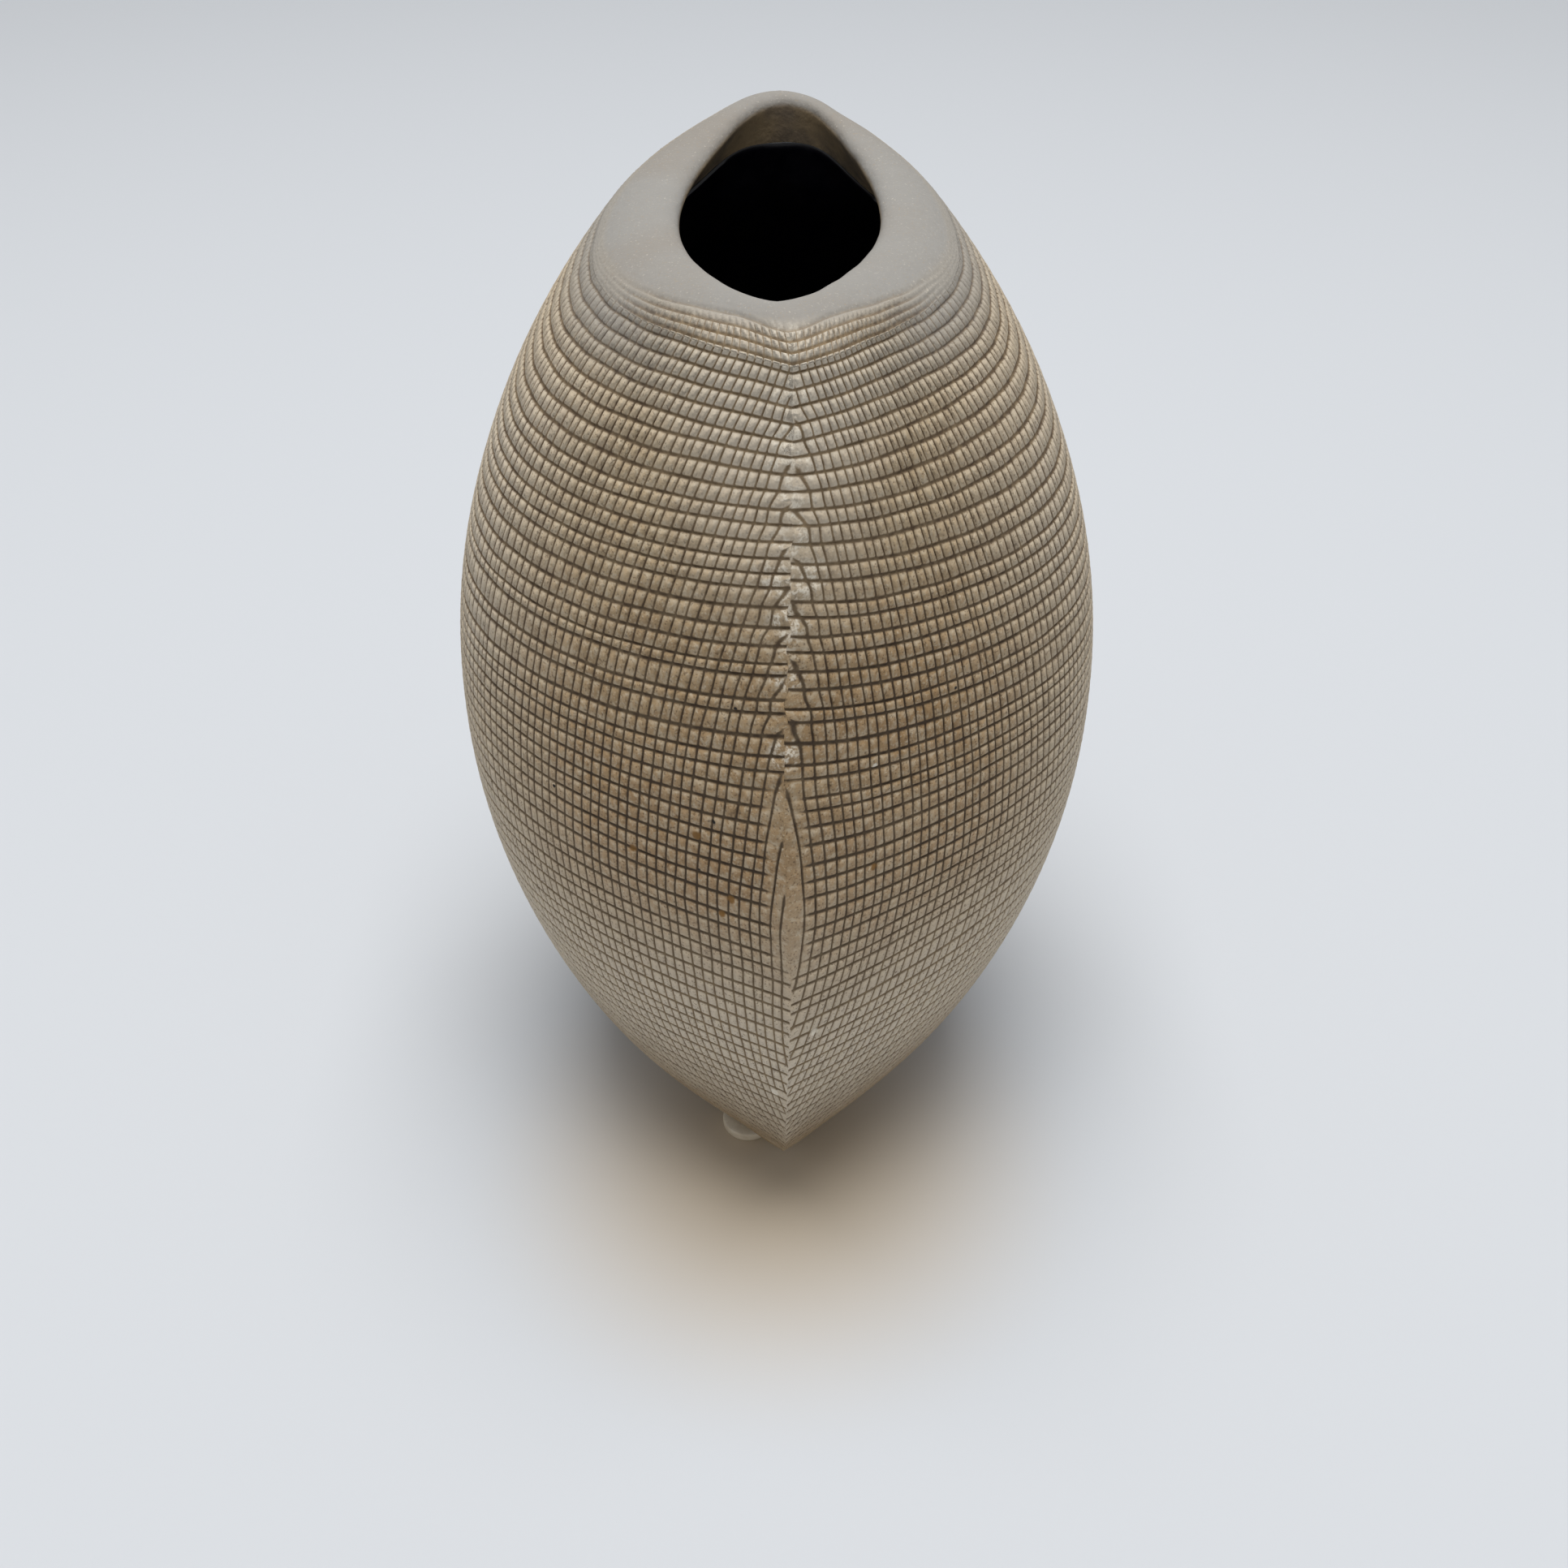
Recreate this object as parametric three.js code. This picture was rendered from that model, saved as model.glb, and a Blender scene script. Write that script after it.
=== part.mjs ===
// Lens vase: two convex clay shells luted along a pointed seam, standing on a floor slab.
// Millimetres. Z is up, Y runs along the lens from seam to seam, X through its thickness.
// The origin lies on the ground, under the middle of the vase.

import * as THREE from 'three';

// Driving dimensions of the body
const vaseHeight = 190;
const lensThickness = 120;
const lensLength = 142;

// How the half thickness changes with height
const thicknessLaw = {
  widest: lensThickness / 2,
  widestAt: 96,
  shareAtRim: 0.36,
  shareAtFoot: 0.34,
  upperRise: 2.1,
  upperFall: 1.42,
  lowerRise: 2.05,
  lowerFall: 1.35,
};

// How the half length, from the middle out to the seam ridge, changes with height
const lengthLaw = {
  widest: lensLength / 2,
  widestAt: 92,
  shareAtRim: 0.77,
  shareAtFoot: 0.55,
  upperRise: 1.4,
  upperFall: 1.4,
  lowerRise: 2.9,
  lowerFall: 3.05,
};

// Plan of a lens section: a low power draws its ends to a point, and the ends grow
// blunter from the foot to the rim
const planPower = 2.5;
const endPowerAtFoot = 1.15;
const endPowerAtRim = 0.78;

// Clay walls
const wallThickness = 5.5;
const ridgeWall = 8.5;
const innerEndPower = 0.85;
const mostLean = 1.6;

// Floor slab
const slabThickness = 7;
const slabEdge = 1.2;

// Mouth collar: a ring that rises from a flat joint to the rounded lip
const collarDepth = 16;
const mouthWidth = 32;
const mouthLength = 86;
const mouthPlanPower = 1.8;
const mouthEndPower = 0.73;
const mouthShift = { x: 0.6, y: 1 };
const lipHeight = 4.3;
const lipRise = 4.6;
const lipCrown = 7.4;
const lipDip = 3.8;

// Main incised lines of the shells, upright and level
const lineSpacing = 14;
const lineDepth = 0.6;
const lineHalfWidth = 0.75;
const lineFade = 2;
const ridgeStep = 0.35;

// Glaze coat inside the body and the lower throat
const glazeThickness = 0.8;
const glazeGap = 0.5;
const throatGap = 0.7;
const bareThroat = 0.35;

// Rubber bumpers under the slab
const bumperDiameter = 11;
const bumperHeight = 2.5;
const bumperRound = 1;
const bumperPlaces = {
  front: [-5.5, -31.5],
  rear: [5.5, 31.5],
  left: [-14, 5],
  right: [14, -5],
};

// Fineness of the surfaces
const halfSteps = 26;
const hollowLevels = 15;
const arcSteps = 400;
const collarLevels = 4;
const lipSteps = 9;
const throatSteps = 5;
const glazeLevels = 12;
const bumperSteps = 20;

const slabTop = bumperHeight + slabThickness;
const collarBottom = vaseHeight - collarDepth;

// Half size at a height: one superellipse above the widest level and another below it
function halfSize(law, z) {
  const above = z > law.widestAt;
  const share = above ? law.shareAtRim : law.shareAtFoot;
  const rise = above ? law.upperRise : law.lowerRise;
  const fall = above ? law.upperFall : law.lowerFall;
  const span = above ? vaseHeight - law.widestAt : law.widestAt;
  const reach = span / (1 - share ** fall) ** (1 / rise);
  const way = Math.abs(z - law.widestAt) / reach;
  return law.widest * (1 - way ** rise) ** (1 / fall);
}

// Width, measured level, of a wall that leans with the profile
function levelWall(law, z, wall) {
  const slope = halfSize(law, z + 0.5) - halfSize(law, z - 0.5);
  return wall * Math.min(Math.hypot(1, slope), mostLean);
}

function endPower(z) {
  return THREE.MathUtils.lerp(endPowerAtFoot, endPowerAtRim, z / vaseHeight);
}

// A point of a level section. The turn goes from 0 at the near ridge by the right side
// to 0.5 at the far ridge, and by the left side back to 1.
function sectionPoint(halfThickness, halfLength, power, turn, z, plan = planPower) {
  const onRidge = turn % 0.5 === 0;
  const along = -Math.cos(turn * 2 * Math.PI);
  const across = onRidge ? 0 : (1 - Math.abs(along) ** plan) ** power;
  const side = turn < 0.5 ? 1 : -1;
  return new THREE.Vector3(side * halfThickness * across, halfLength * along, z);
}

// A point of the right outside at a place along Y, set in by the depth of a line
function outsidePoint(y, z, depth = 0) {
  const thickness = halfSize(thicknessLaw, z);
  const length = halfSize(lengthLaw, z);
  const along = y / length;
  const across = (1 - Math.abs(along) ** planPower) ** endPower(z);
  return new THREE.Vector3((thickness - depth) * across, (length - depth) * along, z);
}

function outerPoint(turn, z) {
  const thickness = halfSize(thicknessLaw, z);
  const length = halfSize(lengthLaw, z);
  return sectionPoint(thickness, length, endPower(z), turn, z);
}

// The hollow keeps one wall thickness to the outside; its corners at the ridges are
// smoothed by the potter's finger
function innerPoint(turn, z, inset = 0) {
  const thickness = halfSize(thicknessLaw, z) - levelWall(thicknessLaw, z, wallThickness);
  const length = halfSize(lengthLaw, z) - levelWall(lengthLaw, z, ridgeWall);
  return sectionPoint(thickness - inset, length - inset, innerEndPower, turn, z);
}

// Even steps from one value to another, both included
function steps(from, to, count) {
  return Array.from({ length: count + 1 }, (_, i) => from + ((to - from) * i) / count);
}

// Turns all the way round, the near ridge once
const fullTurn = steps(0, 1, 2 * halfSteps).slice(0, -1);

// Fills a flat loop with a ladder of triangles between its two sides, taking the shorter
// rung each time
function capTriangles(loop, start, turned) {
  const triangles = [];
  let low = 0;
  let high = loop.length - 1;
  while (high - low >= 2) {
    const lowRung = loop[low + 1].distanceTo(loop[high]);
    const highRung = loop[low].distanceTo(loop[high - 1]);
    if (lowRung <= highRung) {
      triangles.push([low, low + 1, high]);
      low += 1;
    } else {
      triangles.push([low, high - 1, high]);
      high -= 1;
    }
  }
  return triangles.flatMap(([i, j, k]) => (turned ? [i, k, j] : [i, j, k]).map((n) => start + n));
}

// Six times the volume inside the triangles, negative when they face inward
function signedVolume(points, triangles) {
  let volume = 0;
  for (let i = 0; i < triangles.length; i += 3) {
    const [a, b, c] = [points[triangles[i]], points[triangles[i + 1]], points[triangles[i + 2]]];
    volume += a.dot(b.clone().cross(c));
  }
  return volume;
}

// Joins loops of points into one closed solid. Either its two ends are capped, or the
// last loop is joined to the first.
function solidFromLoops(loops, ring) {
  const count = loops[0].length;
  const points = loops.flat();
  const triangles = [];
  loops.forEach((_, band) => {
    if (!ring && band === loops.length - 1) return;
    const here = band * count;
    const next = ((band + 1) % loops.length) * count;
    for (let i = 0; i < count; i += 1) {
      const j = (i + 1) % count;
      triangles.push(here + i, here + j, next + j);
      triangles.push(here + i, next + j, next + i);
    }
  });
  if (!ring) {
    const last = (loops.length - 1) * count;
    triangles.push(...capTriangles(loops[0], 0, true));
    triangles.push(...capTriangles(loops.at(-1), last, false));
  }
  if (signedVolume(points, triangles) < 0) triangles.reverse();
  const geometry = new THREE.BufferGeometry().setFromPoints(points);
  geometry.setIndex(triangles);
  geometry.computeVertexNormals();
  return geometry;
}

// Places along Y of the upright lines from the middle out, evenly spaced over the widest
// section, short of the ridge
function uprightLines() {
  const places = [];
  let arc = 0;
  let last = outsidePoint(0, lengthLaw.widestAt);
  steps(0, lengthLaw.widest - lineFade, arcSteps).forEach((y) => {
    const point = outsidePoint(y, lengthLaw.widestAt);
    arc += point.distanceTo(last);
    last = point;
    if (arc >= places.length * lineSpacing) places.push(y);
  });
  return places;
}

// Edge, bottom and edge of a line cut at a place
function lineProfile(place) {
  return [
    { place: place - lineHalfWidth, depth: 0 },
    { place, depth: lineDepth },
    { place: place + lineHalfWidth, depth: 0 },
  ];
}

// Columns of the outside from the near ridge to the far ridge. An upright line keeps its
// distance from the middle, and runs out where the ridge comes in to it.
function outsideColumns() {
  const half = uprightLines();
  const lines = [...half.slice(1).reverse().map((y) => -y), ...half];
  const columns = lines.flatMap(lineProfile);
  return columns.map((column, i) => {
    const fromRidge = Math.min(i, columns.length - 1 - i) + 1;
    return { ...column, margin: fromRidge * ridgeStep };
  });
}

function columnPoint(column, row) {
  const edge = halfSize(lengthLaw, row.place) - column.margin;
  const away = Math.min(Math.abs(column.place), edge);
  const fade = THREE.MathUtils.clamp((edge - away) / lineFade, 0, 1);
  const depth = row.open ? Math.max(row.depth, column.depth * fade) : 0;
  return outsidePoint(Math.sign(column.place) * away, row.place, depth);
}

function ridgePoint(sign, row) {
  return new THREE.Vector3(0, sign * (halfSize(lengthLaw, row.place) - row.depth), row.place);
}

// Rows of the outside: both flat joints, and the level lines between them
function outsideRows() {
  const count = Math.round((collarBottom - slabTop) / lineSpacing);
  const places = steps(slabTop, collarBottom, count).slice(1, -1);
  const rows = places.flatMap(lineProfile).map((row) => ({ ...row, open: true }));
  const joints = [slabTop, collarBottom].map((place) => ({ place, depth: 0, open: false }));
  return [joints[0], ...rows, joints[1]];
}

// A shell is a wall loop carried from the near ridge to the far ridge. Both its ends are
// flat, and meet those of the other shell.
function shellGeometry(side) {
  const rows = outsideRows();
  const columns = outsideColumns();
  const outsides = [
    rows.map((row) => ridgePoint(-1, row)),
    ...columns.map((column) => rows.map((row) => columnPoint(column, row))),
    rows.map((row) => ridgePoint(1, row)),
  ];
  const heights = steps(collarBottom, slabTop, hollowLevels);
  const turns = steps(0, 0.5, outsides.length - 1);
  const loops = outsides.map((outside, i) => {
    const inside = heights.map((z) => innerPoint(turns[i], z));
    return [...outside, ...inside].map((p) => p.setX(p.x * side));
  });
  return solidFromLoops(loops, false);
}

// The lip is lowest halfway along the sides and highest at the ridges
function shoulderHeight(turn) {
  return vaseHeight - lipHeight - lipDip * Math.sin(turn * 2 * Math.PI) ** 2;
}

// Where the lip has turned over into the throat
function mouthPoint(turn) {
  const z = shoulderHeight(turn) - 0.5;
  const centred = sectionPoint(mouthWidth / 2, mouthLength / 2, mouthEndPower, turn, z, mouthPlanPower);
  return centred.add(new THREE.Vector3(mouthShift.x, mouthShift.y, 0));
}

// The throat drops from the mouth and widens to meet the hollow of the shells
function throatCurve(turn) {
  const top = mouthPoint(turn);
  const bottom = innerPoint(turn, collarBottom);
  const bend = top.clone().setZ(THREE.MathUtils.lerp(bottom.z, top.z, 0.5));
  return new THREE.QuadraticBezierCurve3(top, bend, bottom);
}

// The collar carries on the outside of the shells, turns over at the lip and goes down
// the throat; its flat underside rests on both shells
function collarGeometry() {
  const loops = fullTurn.map((turn) => {
    const shoulder = shoulderHeight(turn);
    const outside = steps(collarBottom, shoulder, collarLevels).map((z) => outerPoint(turn, z));
    const edge = outside.at(-1);
    const lean = edge.clone().sub(outerPoint(turn, shoulder - 1));
    const overEdge = edge.clone().addScaledVector(lean, lipRise);
    const mouth = mouthPoint(turn);
    const overMouth = mouth.clone().setZ(mouth.z + lipCrown);
    const lip = new THREE.CubicBezierCurve3(edge, overEdge, overMouth, mouth);
    const throat = throatCurve(turn).getPoints(throatSteps);
    return [...outside, ...lip.getPoints(lipSteps).slice(1), ...throat.slice(1)];
  });
  return solidFromLoops(loops, true);
}

// The floor slab carries both shells; its lower edge is rounded off
function slabGeometry() {
  const rings = [
    [bumperHeight, slabEdge],
    [bumperHeight + slabEdge * 0.3, slabEdge * 0.4],
    [bumperHeight + slabEdge, 0],
    [slabTop, 0],
  ];
  const loops = rings.map(([z, inset]) => fullTurn.map((turn) => {
    const thickness = halfSize(thicknessLaw, z) - inset;
    const length = halfSize(lengthLaw, z) - inset;
    return sectionPoint(thickness, length, endPower(z), turn, z);
  }));
  return solidFromLoops(loops, false);
}

// Side of the glaze coat facing the clay, from the floor up into the throat. Up there it
// keeps its distance square to the throat's slope.
function glazeLoops(depth) {
  const walls = steps(slabTop + depth, collarBottom, glazeLevels).slice(0, -1).map((z) =>
    fullTurn.map((turn) => innerPoint(turn, z, glazeGap + depth)));
  const throats = steps(1, bareThroat, 3).map((share) => fullTurn.map((turn) => {
    const curve = throatCurve(turn);
    const point = curve.getPoint(share);
    const slope = curve.getTangent(share);
    const outward = new THREE.Vector3(point.x, point.y, 0).normalize();
    const offset = outward.clone().multiplyScalar(slope.z).setZ(-slope.dot(outward));
    return point.addScaledVector(offset.normalize(), throatGap + depth);
  }));
  return [...walls, ...throats];
}

// The glaze coat is a thin cup, open at the top
function glazeGeometry() {
  return solidFromLoops([...glazeLoops(0), ...glazeLoops(glazeThickness).reverse()], false);
}

// A bumper is a low round pad with a flat top stuck to the slab
function bumperGeometry() {
  const radius = bumperDiameter / 2;
  const profile = [
    new THREE.Vector2(0, 0),
    ...new THREE.Path()
      .absarc(radius - bumperRound, bumperRound, bumperRound, -Math.PI / 2, 0, false)
      .getPoints(2),
    new THREE.Vector2(radius, bumperHeight),
    new THREE.Vector2(0, bumperHeight),
  ];
  return new THREE.LatheGeometry(profile, bumperSteps).rotateX(Math.PI / 2);
}

const clay = { color: 0x9c8567, roughness: 0.85, metalness: 0 };
const smoothClay = { color: 0x8d8279, roughness: 0.7, metalness: 0 };
const darkGlaze = { color: 0x020308, roughness: 0.25, metalness: 0 };
const clearRubber = { color: 0xb9b7ad, roughness: 0.4, metalness: 0 };

const vase = new THREE.Group();

function addPiece(name, geometry, finish) {
  const mesh = new THREE.Mesh(geometry, new THREE.MeshStandardMaterial(finish));
  mesh.name = name;
  vase.add(mesh);
  return mesh;
}

addPiece('right_shell', shellGeometry(1), clay);
addPiece('left_shell', shellGeometry(-1), clay);
addPiece('mouth_collar', collarGeometry(), smoothClay);
addPiece('base_slab', slabGeometry(), clay);
addPiece('inner_glaze', glazeGeometry(), darkGlaze);

Object.entries(bumperPlaces).forEach(([place, [x, y]]) => {
  addPiece(`bumper_${place}`, bumperGeometry(), clearRubber).position.set(x, y, 0);
});

export default vase;
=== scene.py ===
# Looks of the lens vase: two incised stoneware shells, a smoothed collar with the lip, the
# foot slab, the glaze inside and the clear bumpers. Lengths are in millimetres until a
# mesh is made. Z is up, Y runs from the near ridge to the far ridge, X is the thickness.
import math

import bmesh
import bpy
import numpy as np
from mathutils import Matrix, Vector


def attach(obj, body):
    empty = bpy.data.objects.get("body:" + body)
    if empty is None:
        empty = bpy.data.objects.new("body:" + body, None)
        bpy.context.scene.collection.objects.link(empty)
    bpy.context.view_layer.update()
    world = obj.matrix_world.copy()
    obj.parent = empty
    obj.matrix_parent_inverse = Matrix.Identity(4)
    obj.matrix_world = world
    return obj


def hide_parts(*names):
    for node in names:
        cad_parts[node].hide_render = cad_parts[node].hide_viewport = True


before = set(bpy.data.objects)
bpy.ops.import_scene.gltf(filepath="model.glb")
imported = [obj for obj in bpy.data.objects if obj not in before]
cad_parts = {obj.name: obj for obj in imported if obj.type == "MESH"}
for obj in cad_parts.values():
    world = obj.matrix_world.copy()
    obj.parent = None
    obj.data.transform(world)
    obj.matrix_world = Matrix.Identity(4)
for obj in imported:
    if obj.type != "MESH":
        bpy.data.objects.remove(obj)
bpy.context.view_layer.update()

METRE = 0.001
RIGHT, LEFT = 1, -1
SIDES = (RIGHT, LEFT)
random = np.random.default_rng(7)

# Body: the section laws of the part's source, with a sharper near ridge, a blunter far one
# and a tuck above the tips of the foot
VASE_HEIGHT = 190
THICKNESS_LAW = dict(tuck=0, widest=60, widest_at=96, rim_share=0.36, foot_share=0.34,
                     upper_rise=2.1, upper_fall=1.42, lower_rise=2.05, lower_fall=1.35)
LENGTH_LAW = dict(tuck=2.3, widest=71, widest_at=92, rim_share=0.77, foot_share=0.55,
                  upper_rise=1.4, upper_fall=1.4, lower_rise=2.9, lower_fall=3.05)
PLAN_POWER = 2.5
END_POWER_FOOT = 1.15
END_POWER_NEAR_RIM = 1.0
END_POWER_FAR_RIM = 0.68
FAR_BLUNTNESS, FAR_BLUNT_ENDS, FAR_BLUNT_HEIGHTS = 0.12, (0.8, 1), (140, 180)
FOOT_BLUNTNESS, FOOT_BLUNT_ENDS, FOOT_BLUNT_HEIGHTS = 0.12, (0.86, 1), (32, 12)
TUCK_HEIGHT, TUCK_SPREAD = 12, 14
WALL, RIDGE_WALL, INNER_END_POWER, MOST_LEAN = 5.5, 8.5, 0.85, 1.6
SLAB_BOTTOM, SLAB_TOP, SLAB_EDGE, SLAB_EDGE_ROWS = 2.5, 9.5, 1.2, 6
COLLAR_BOTTOM = 174
WALL_ROWS, WALL_COLUMNS = 31, 49
SHARP_ANGLE = 62

# Mouth and lip
SHOULDER = 185.7
LIP_DIP = 3.8
LIP_RISE = 4.6
LIP_CROWN = 3.6
MOUTH_DROP = 2.2
MOUTH_HALF_WIDTH, MOUTH_HALF_LENGTH = 16.4, 44.6
MOUTH_PLAN_POWER = 1.95
MOUTH_NEAR_POWER, MOUTH_FAR_POWER = 0.86, 0.73
MOUTH_BLUNTNESS, MOUTH_BLUNT_ENDS = 0.17, (0.55, 1)
MOUTH_SHIFT, MOUTH_SKEW = (0.7, 3.3), 0.015
THROAT_HALF_WIDTH, THROAT_HALF_LENGTH = 17.6, 44.8
THROAT_PLAN_POWER, THROAT_END_POWER = 2.8, 0.45
THROAT_ROWS, THROAT_LOOK = 17, (0.9, 1)

# Grooves round the lip, as shares of the way from its outer edge to the mouth: they fade on
# the sides, where they also lie closer together. Short ticks go on from the upright lines.
FLANK_POWER = 1.5
LIP_ROWS = np.concatenate([np.linspace(0.012, 0.45, 37), np.linspace(0.48, 1, 20)])
LIP_LINES = [0.07, 0.19, 0.31, 0.43]
LAST_LIP_ROW = 0.58
LIP_LINE_WIDTH, LIP_LINE_DEPTH = 0.021, 0.5
LIP_LINE_STRENGTH, LIP_LINE_WEAKENING = 1.1, 0.9
LIP_LINES_SEEN = (0.12, 0.52)
LEAST_SPREAD, SPREAD_LOSS, SPREAD_LOSS_ENDS = 0.2, 0.2, (0.8, 1)
TICKS_TO, TICK_FADE, TICK_SHARE = 0.45, 0.12, 0.7

# The smoothed look starts on the lip nearer the edge on its sides, and also lies on the
# clay just below, away from the ridges
LIP_LOOK_FROM, LIP_LOOK_ENDS, LIP_LOOK_FADE = -0.05, 0.28, 0.25
SMOOTH_MOST, SMOOTH_HEIGHTS, SMOOTH_FLANKS = 0.75, (172, 182), (0.85, 0.5)

# Glaze inside, with a wavy top edge that stands higher at the ends of the mouth
GLAZE_TOP_SIDES, GLAZE_TOP_ENDS = 175.8, 181.5
GLAZE_GAP, GLAZE_DEPTH, GLAZE_EDGE, GLAZE_WAVE = 0.06, 0.6, 0.25, 0.7
GLAZE_WAVE_LENGTHS = [90, 37, 17]
GLAZE_WAVE_WAY, GLAZE_WAVES_APART, GLAZE_ENDS = 50, 40, (0.55, 0.97)
GLAZE_COLUMNS, GLAZE_FLOOR_ROWS, GLAZE_WALL_ROWS, GLAZE_TOP_ROWS = 160, 4, 33, 8

# Bumpers: places under the foot, and radius and height along a pad's face, side and top
BUMPER_RADIUS, BUMPER_ROUND = 5.5, 1.0
BUMPER_PLACES = {"front": (-6.4, -35.0), "rear": (5.5, 31.5), "left": (-14, 5), "right": (14, -5)}
BUMPER_FACE = [(0.02, 0), (1.5, 0), (3.0, 0)]
BUMPER_TOP = [(5.48, 1.7), (5.44, 2.2), (5.3, 2.42), (3.0, 2.46), (1.5, 2.5), (0.02, 2.5)]
BUMPER_COLUMNS, BUMPER_EDGE_ROWS = 64, 9

# Incised lines: how far apart the level ones are at some heights of the ridge, and how
# the upright ones are spaced along the widest section
PITCH_HEIGHTS = [0, 40, 60, 75, 95, 120, 140, 160, 175, 190]
LEVEL_PITCHES = [2.5, 2.7, 2.9, 3.2, 3.5, 3.25, 3.0, 2.65, 2.3, 2.05]
UPRIGHT_PITCHES = {RIGHT: (2.2, 1.86), LEFT: (1.98, 1.92)}
PITCH_CHANGE = 10
PITCH_SPREAD, STEADY_LINES = 0.055, (-1, 3)
LINES_BELOW_FOOT, LINES_ABOVE_LIP, LINES_BEFORE_RIDGE = 8, 6, 3
HEIGHT_STEPS, AWAY_STEPS = 2000, 3000
NARROW_SHARE, NARROW_SHIFT = 0.1, 0.28
LEVEL_DEPTH = 0.36
UPRIGHT_DEPTH = 0.3
PATCHY_LEVELS, PATCH_STRETCH = 0.45, 1.7
STREAKY_UPRIGHTS, STREAK_STRETCH = 0.5, 1.3
# The first two bound the band along the tile edges that takes a painted highlight
TILE_RIM, TILE_RIM_END, RIDGE_CUT = (0, 0.07), (0.07, 0.37), 0.85
WOBBLE, CALM_HEIGHT, CALM_REACH = 0.24, 12, 6
LEVEL_WAVE_LENGTHS, UPRIGHT_WAVE_LENGTHS = [61, 27, 11], [83, 31, 12]
STAGGER = 0.45
SHARED_AT_FOOT, SHARED_AT_MOUTH = (16, 34), (166, 152)
LEAST_ROW_GAP, LEAST_COLUMN_GAP = 0.12, 0.2
RIDGE_GAP, LEAST_RIDGE_GAP, TINY_RIDGE_GAP, SLOPE_STEP = 0.22, 0.05, 0.02, 0.25
MOST_COLUMNS = 200

# One pitch across a line: place within the pitch, and share of the depth
LEVEL_PROFILE = ([0.0, 0.07, 0.17, 0.5, 0.84, 0.93], [1.0, 0.66, 0.13, 0.0, 0.13, 0.68])
UPRIGHT_PROFILE = ([0.0, 0.17, 0.5, 0.83], [1.0, 0.15, 0.0, 0.15])

# A level line drops beside the ridge and then runs up or down towards the middle
SAG_HEIGHTS = [0, 60, 80, 95, 110, 131, 155, 168, 180, 190]
RIDGE_DROPS = [0, 3, 3.5, 4.2, 5.5, 6.3, 5.6, 4.2, 1.2, -1]
SIDE_SLOPES = {
    RIGHT: [0, 0.2, 0.28, 0.12, 0.05, -0.08, -0.13, -0.03, 0, 0],
    LEFT: [0, 0.08, 0.10, 0.12, 0.12, -0.04, -0.02, -0.02, -0.06, -0.10],
}
DROP_WIDTH = 9
SLOPE_WIDTH = 28
SAG_GROWTH, RIM_SAG_FROM = 30, 166

# Upright lines by the near ridge lean, above and below a middle height, and swing out to
# the ridge. The first one beside it lies this far from the middle.
LEAN = {RIGHT: (0.06, 0.075), LEFT: (0.045, -0.02)}
LEAN_MIDDLE, LEAN_BEND = 100, 10
LEAN_FROM, LEAN_TO = 30, 64
SWING = {RIGHT: 0.5, LEFT: 0.35}
TOP_SWING = {RIGHT: 1.05, LEFT: 0.75}
SWING_WIDTH, SWING_REACH, SWING_TO = 0.45, 10, 50
SWING_GROWS, SWING_ENDS = (118, 134), (186, 172)
FIRST_LINE = {RIGHT: 69.28, LEFT: 70.35}

# The lines fade at the very foot, near it the level ones are weaker and the upright ones
# stronger, and a strip of the ridge has hardly any level ones
FOOT_FADE, NOTCH_FADE = (3.5, 10.5), (4.5, 9.5)
WEAK_LEVELS, WEAK_LEVELS_UP_TO = 0.55, (8, 34)
STRONG_UPRIGHTS, STRONG_UPRIGHTS_UP_TO = 1.25, (12, 42)
STRIP_START, STRIP_RIDGE_START, STRIP_END = (80, 88), (78, 86), (126, 118)
STRIP_WIDTH, STRIP_LOSS = 1.9, 0.9
LEVELS_AT_RIDGE, UPRIGHTS_AT_RIDGE, PAST_FIRST_LINE = (-0.504, 0.196), (0, 0.5), 0.5

# The near ridge wanders off the middle plane
RIDGE_HEIGHTS = [0, 20, 55, 80, 100, 120, 145, 165, 190]
RIDGE_WANDER = [0.9, 1.3, 1.9, 2.5, 1.7, 1.1, 1.8, 2.4, 2.4]
WANDER_WIDTH = 13
RIDGE_JOG, JOG_LENGTHS, JOG_WIDTH = 0.4, (7.3, 4.9), 2.6
JOG_START, JOG_END = (122, 134), (184, 174)

# Pale rubbed patches on the ridges: height, half their height, reach to the sides
RUBBED_PATCHES = [
    (186.5, 2.0, 2.2), (181.5, 1.8, 2.2), (176, 2.4, 2.6), (171.5, 2.2, 2.6), (167, 1.8, 2.2),
    (161.5, 1.5, 1.8), (155.5, 3.0, 3.0), (149, 1.6, 1.8), (140, 1.2, 1.5), (127.5, 2.5, 1.4),
]
RIDGE_RUB, RIDGE_RUB_WIDTH, RIDGE_RUB_HEIGHTS = 0.5, 1.5, (128, 152)

# Small marks on the clay: side, distance along Y from the middle, height, radius
# Pinholes are drawn as near-black discs: painted shade standing for the holes' dark insides
PINHOLES = [
    (LEFT, -63.2, 111, 0.45), (LEFT, -62.6, 100, 0.35), (LEFT, -66.2, 144.5, 0.3),
    (LEFT, -62.2, 133, 0.35), (LEFT, -45.6, 104, 0.35), (RIGHT, -50, 128, 0.3),
    (RIGHT, -30, 90, 0.3), (LEFT, -20, 120, 0.3), (RIGHT, 35, 70, 0.35), (LEFT, 44, 140, 0.3),
]
OCHRE_SPOTS = [
    (LEFT, -65.6, 96, 0.8), (LEFT, -64.8, 92, 0.7), (LEFT, -62.0, 107, 0.9),
    (LEFT, -56.0, 99, 0.8), (RIGHT, -62, 100, 0.7), (RIGHT, 50, 96, 0.9),
]
SLIP_BLOBS = [(RIGHT, -67.5, 65.5, 0.8), (LEFT, -67.0, 48.5, 1.0), (RIGHT, -60, 120, 0.5)]

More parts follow.
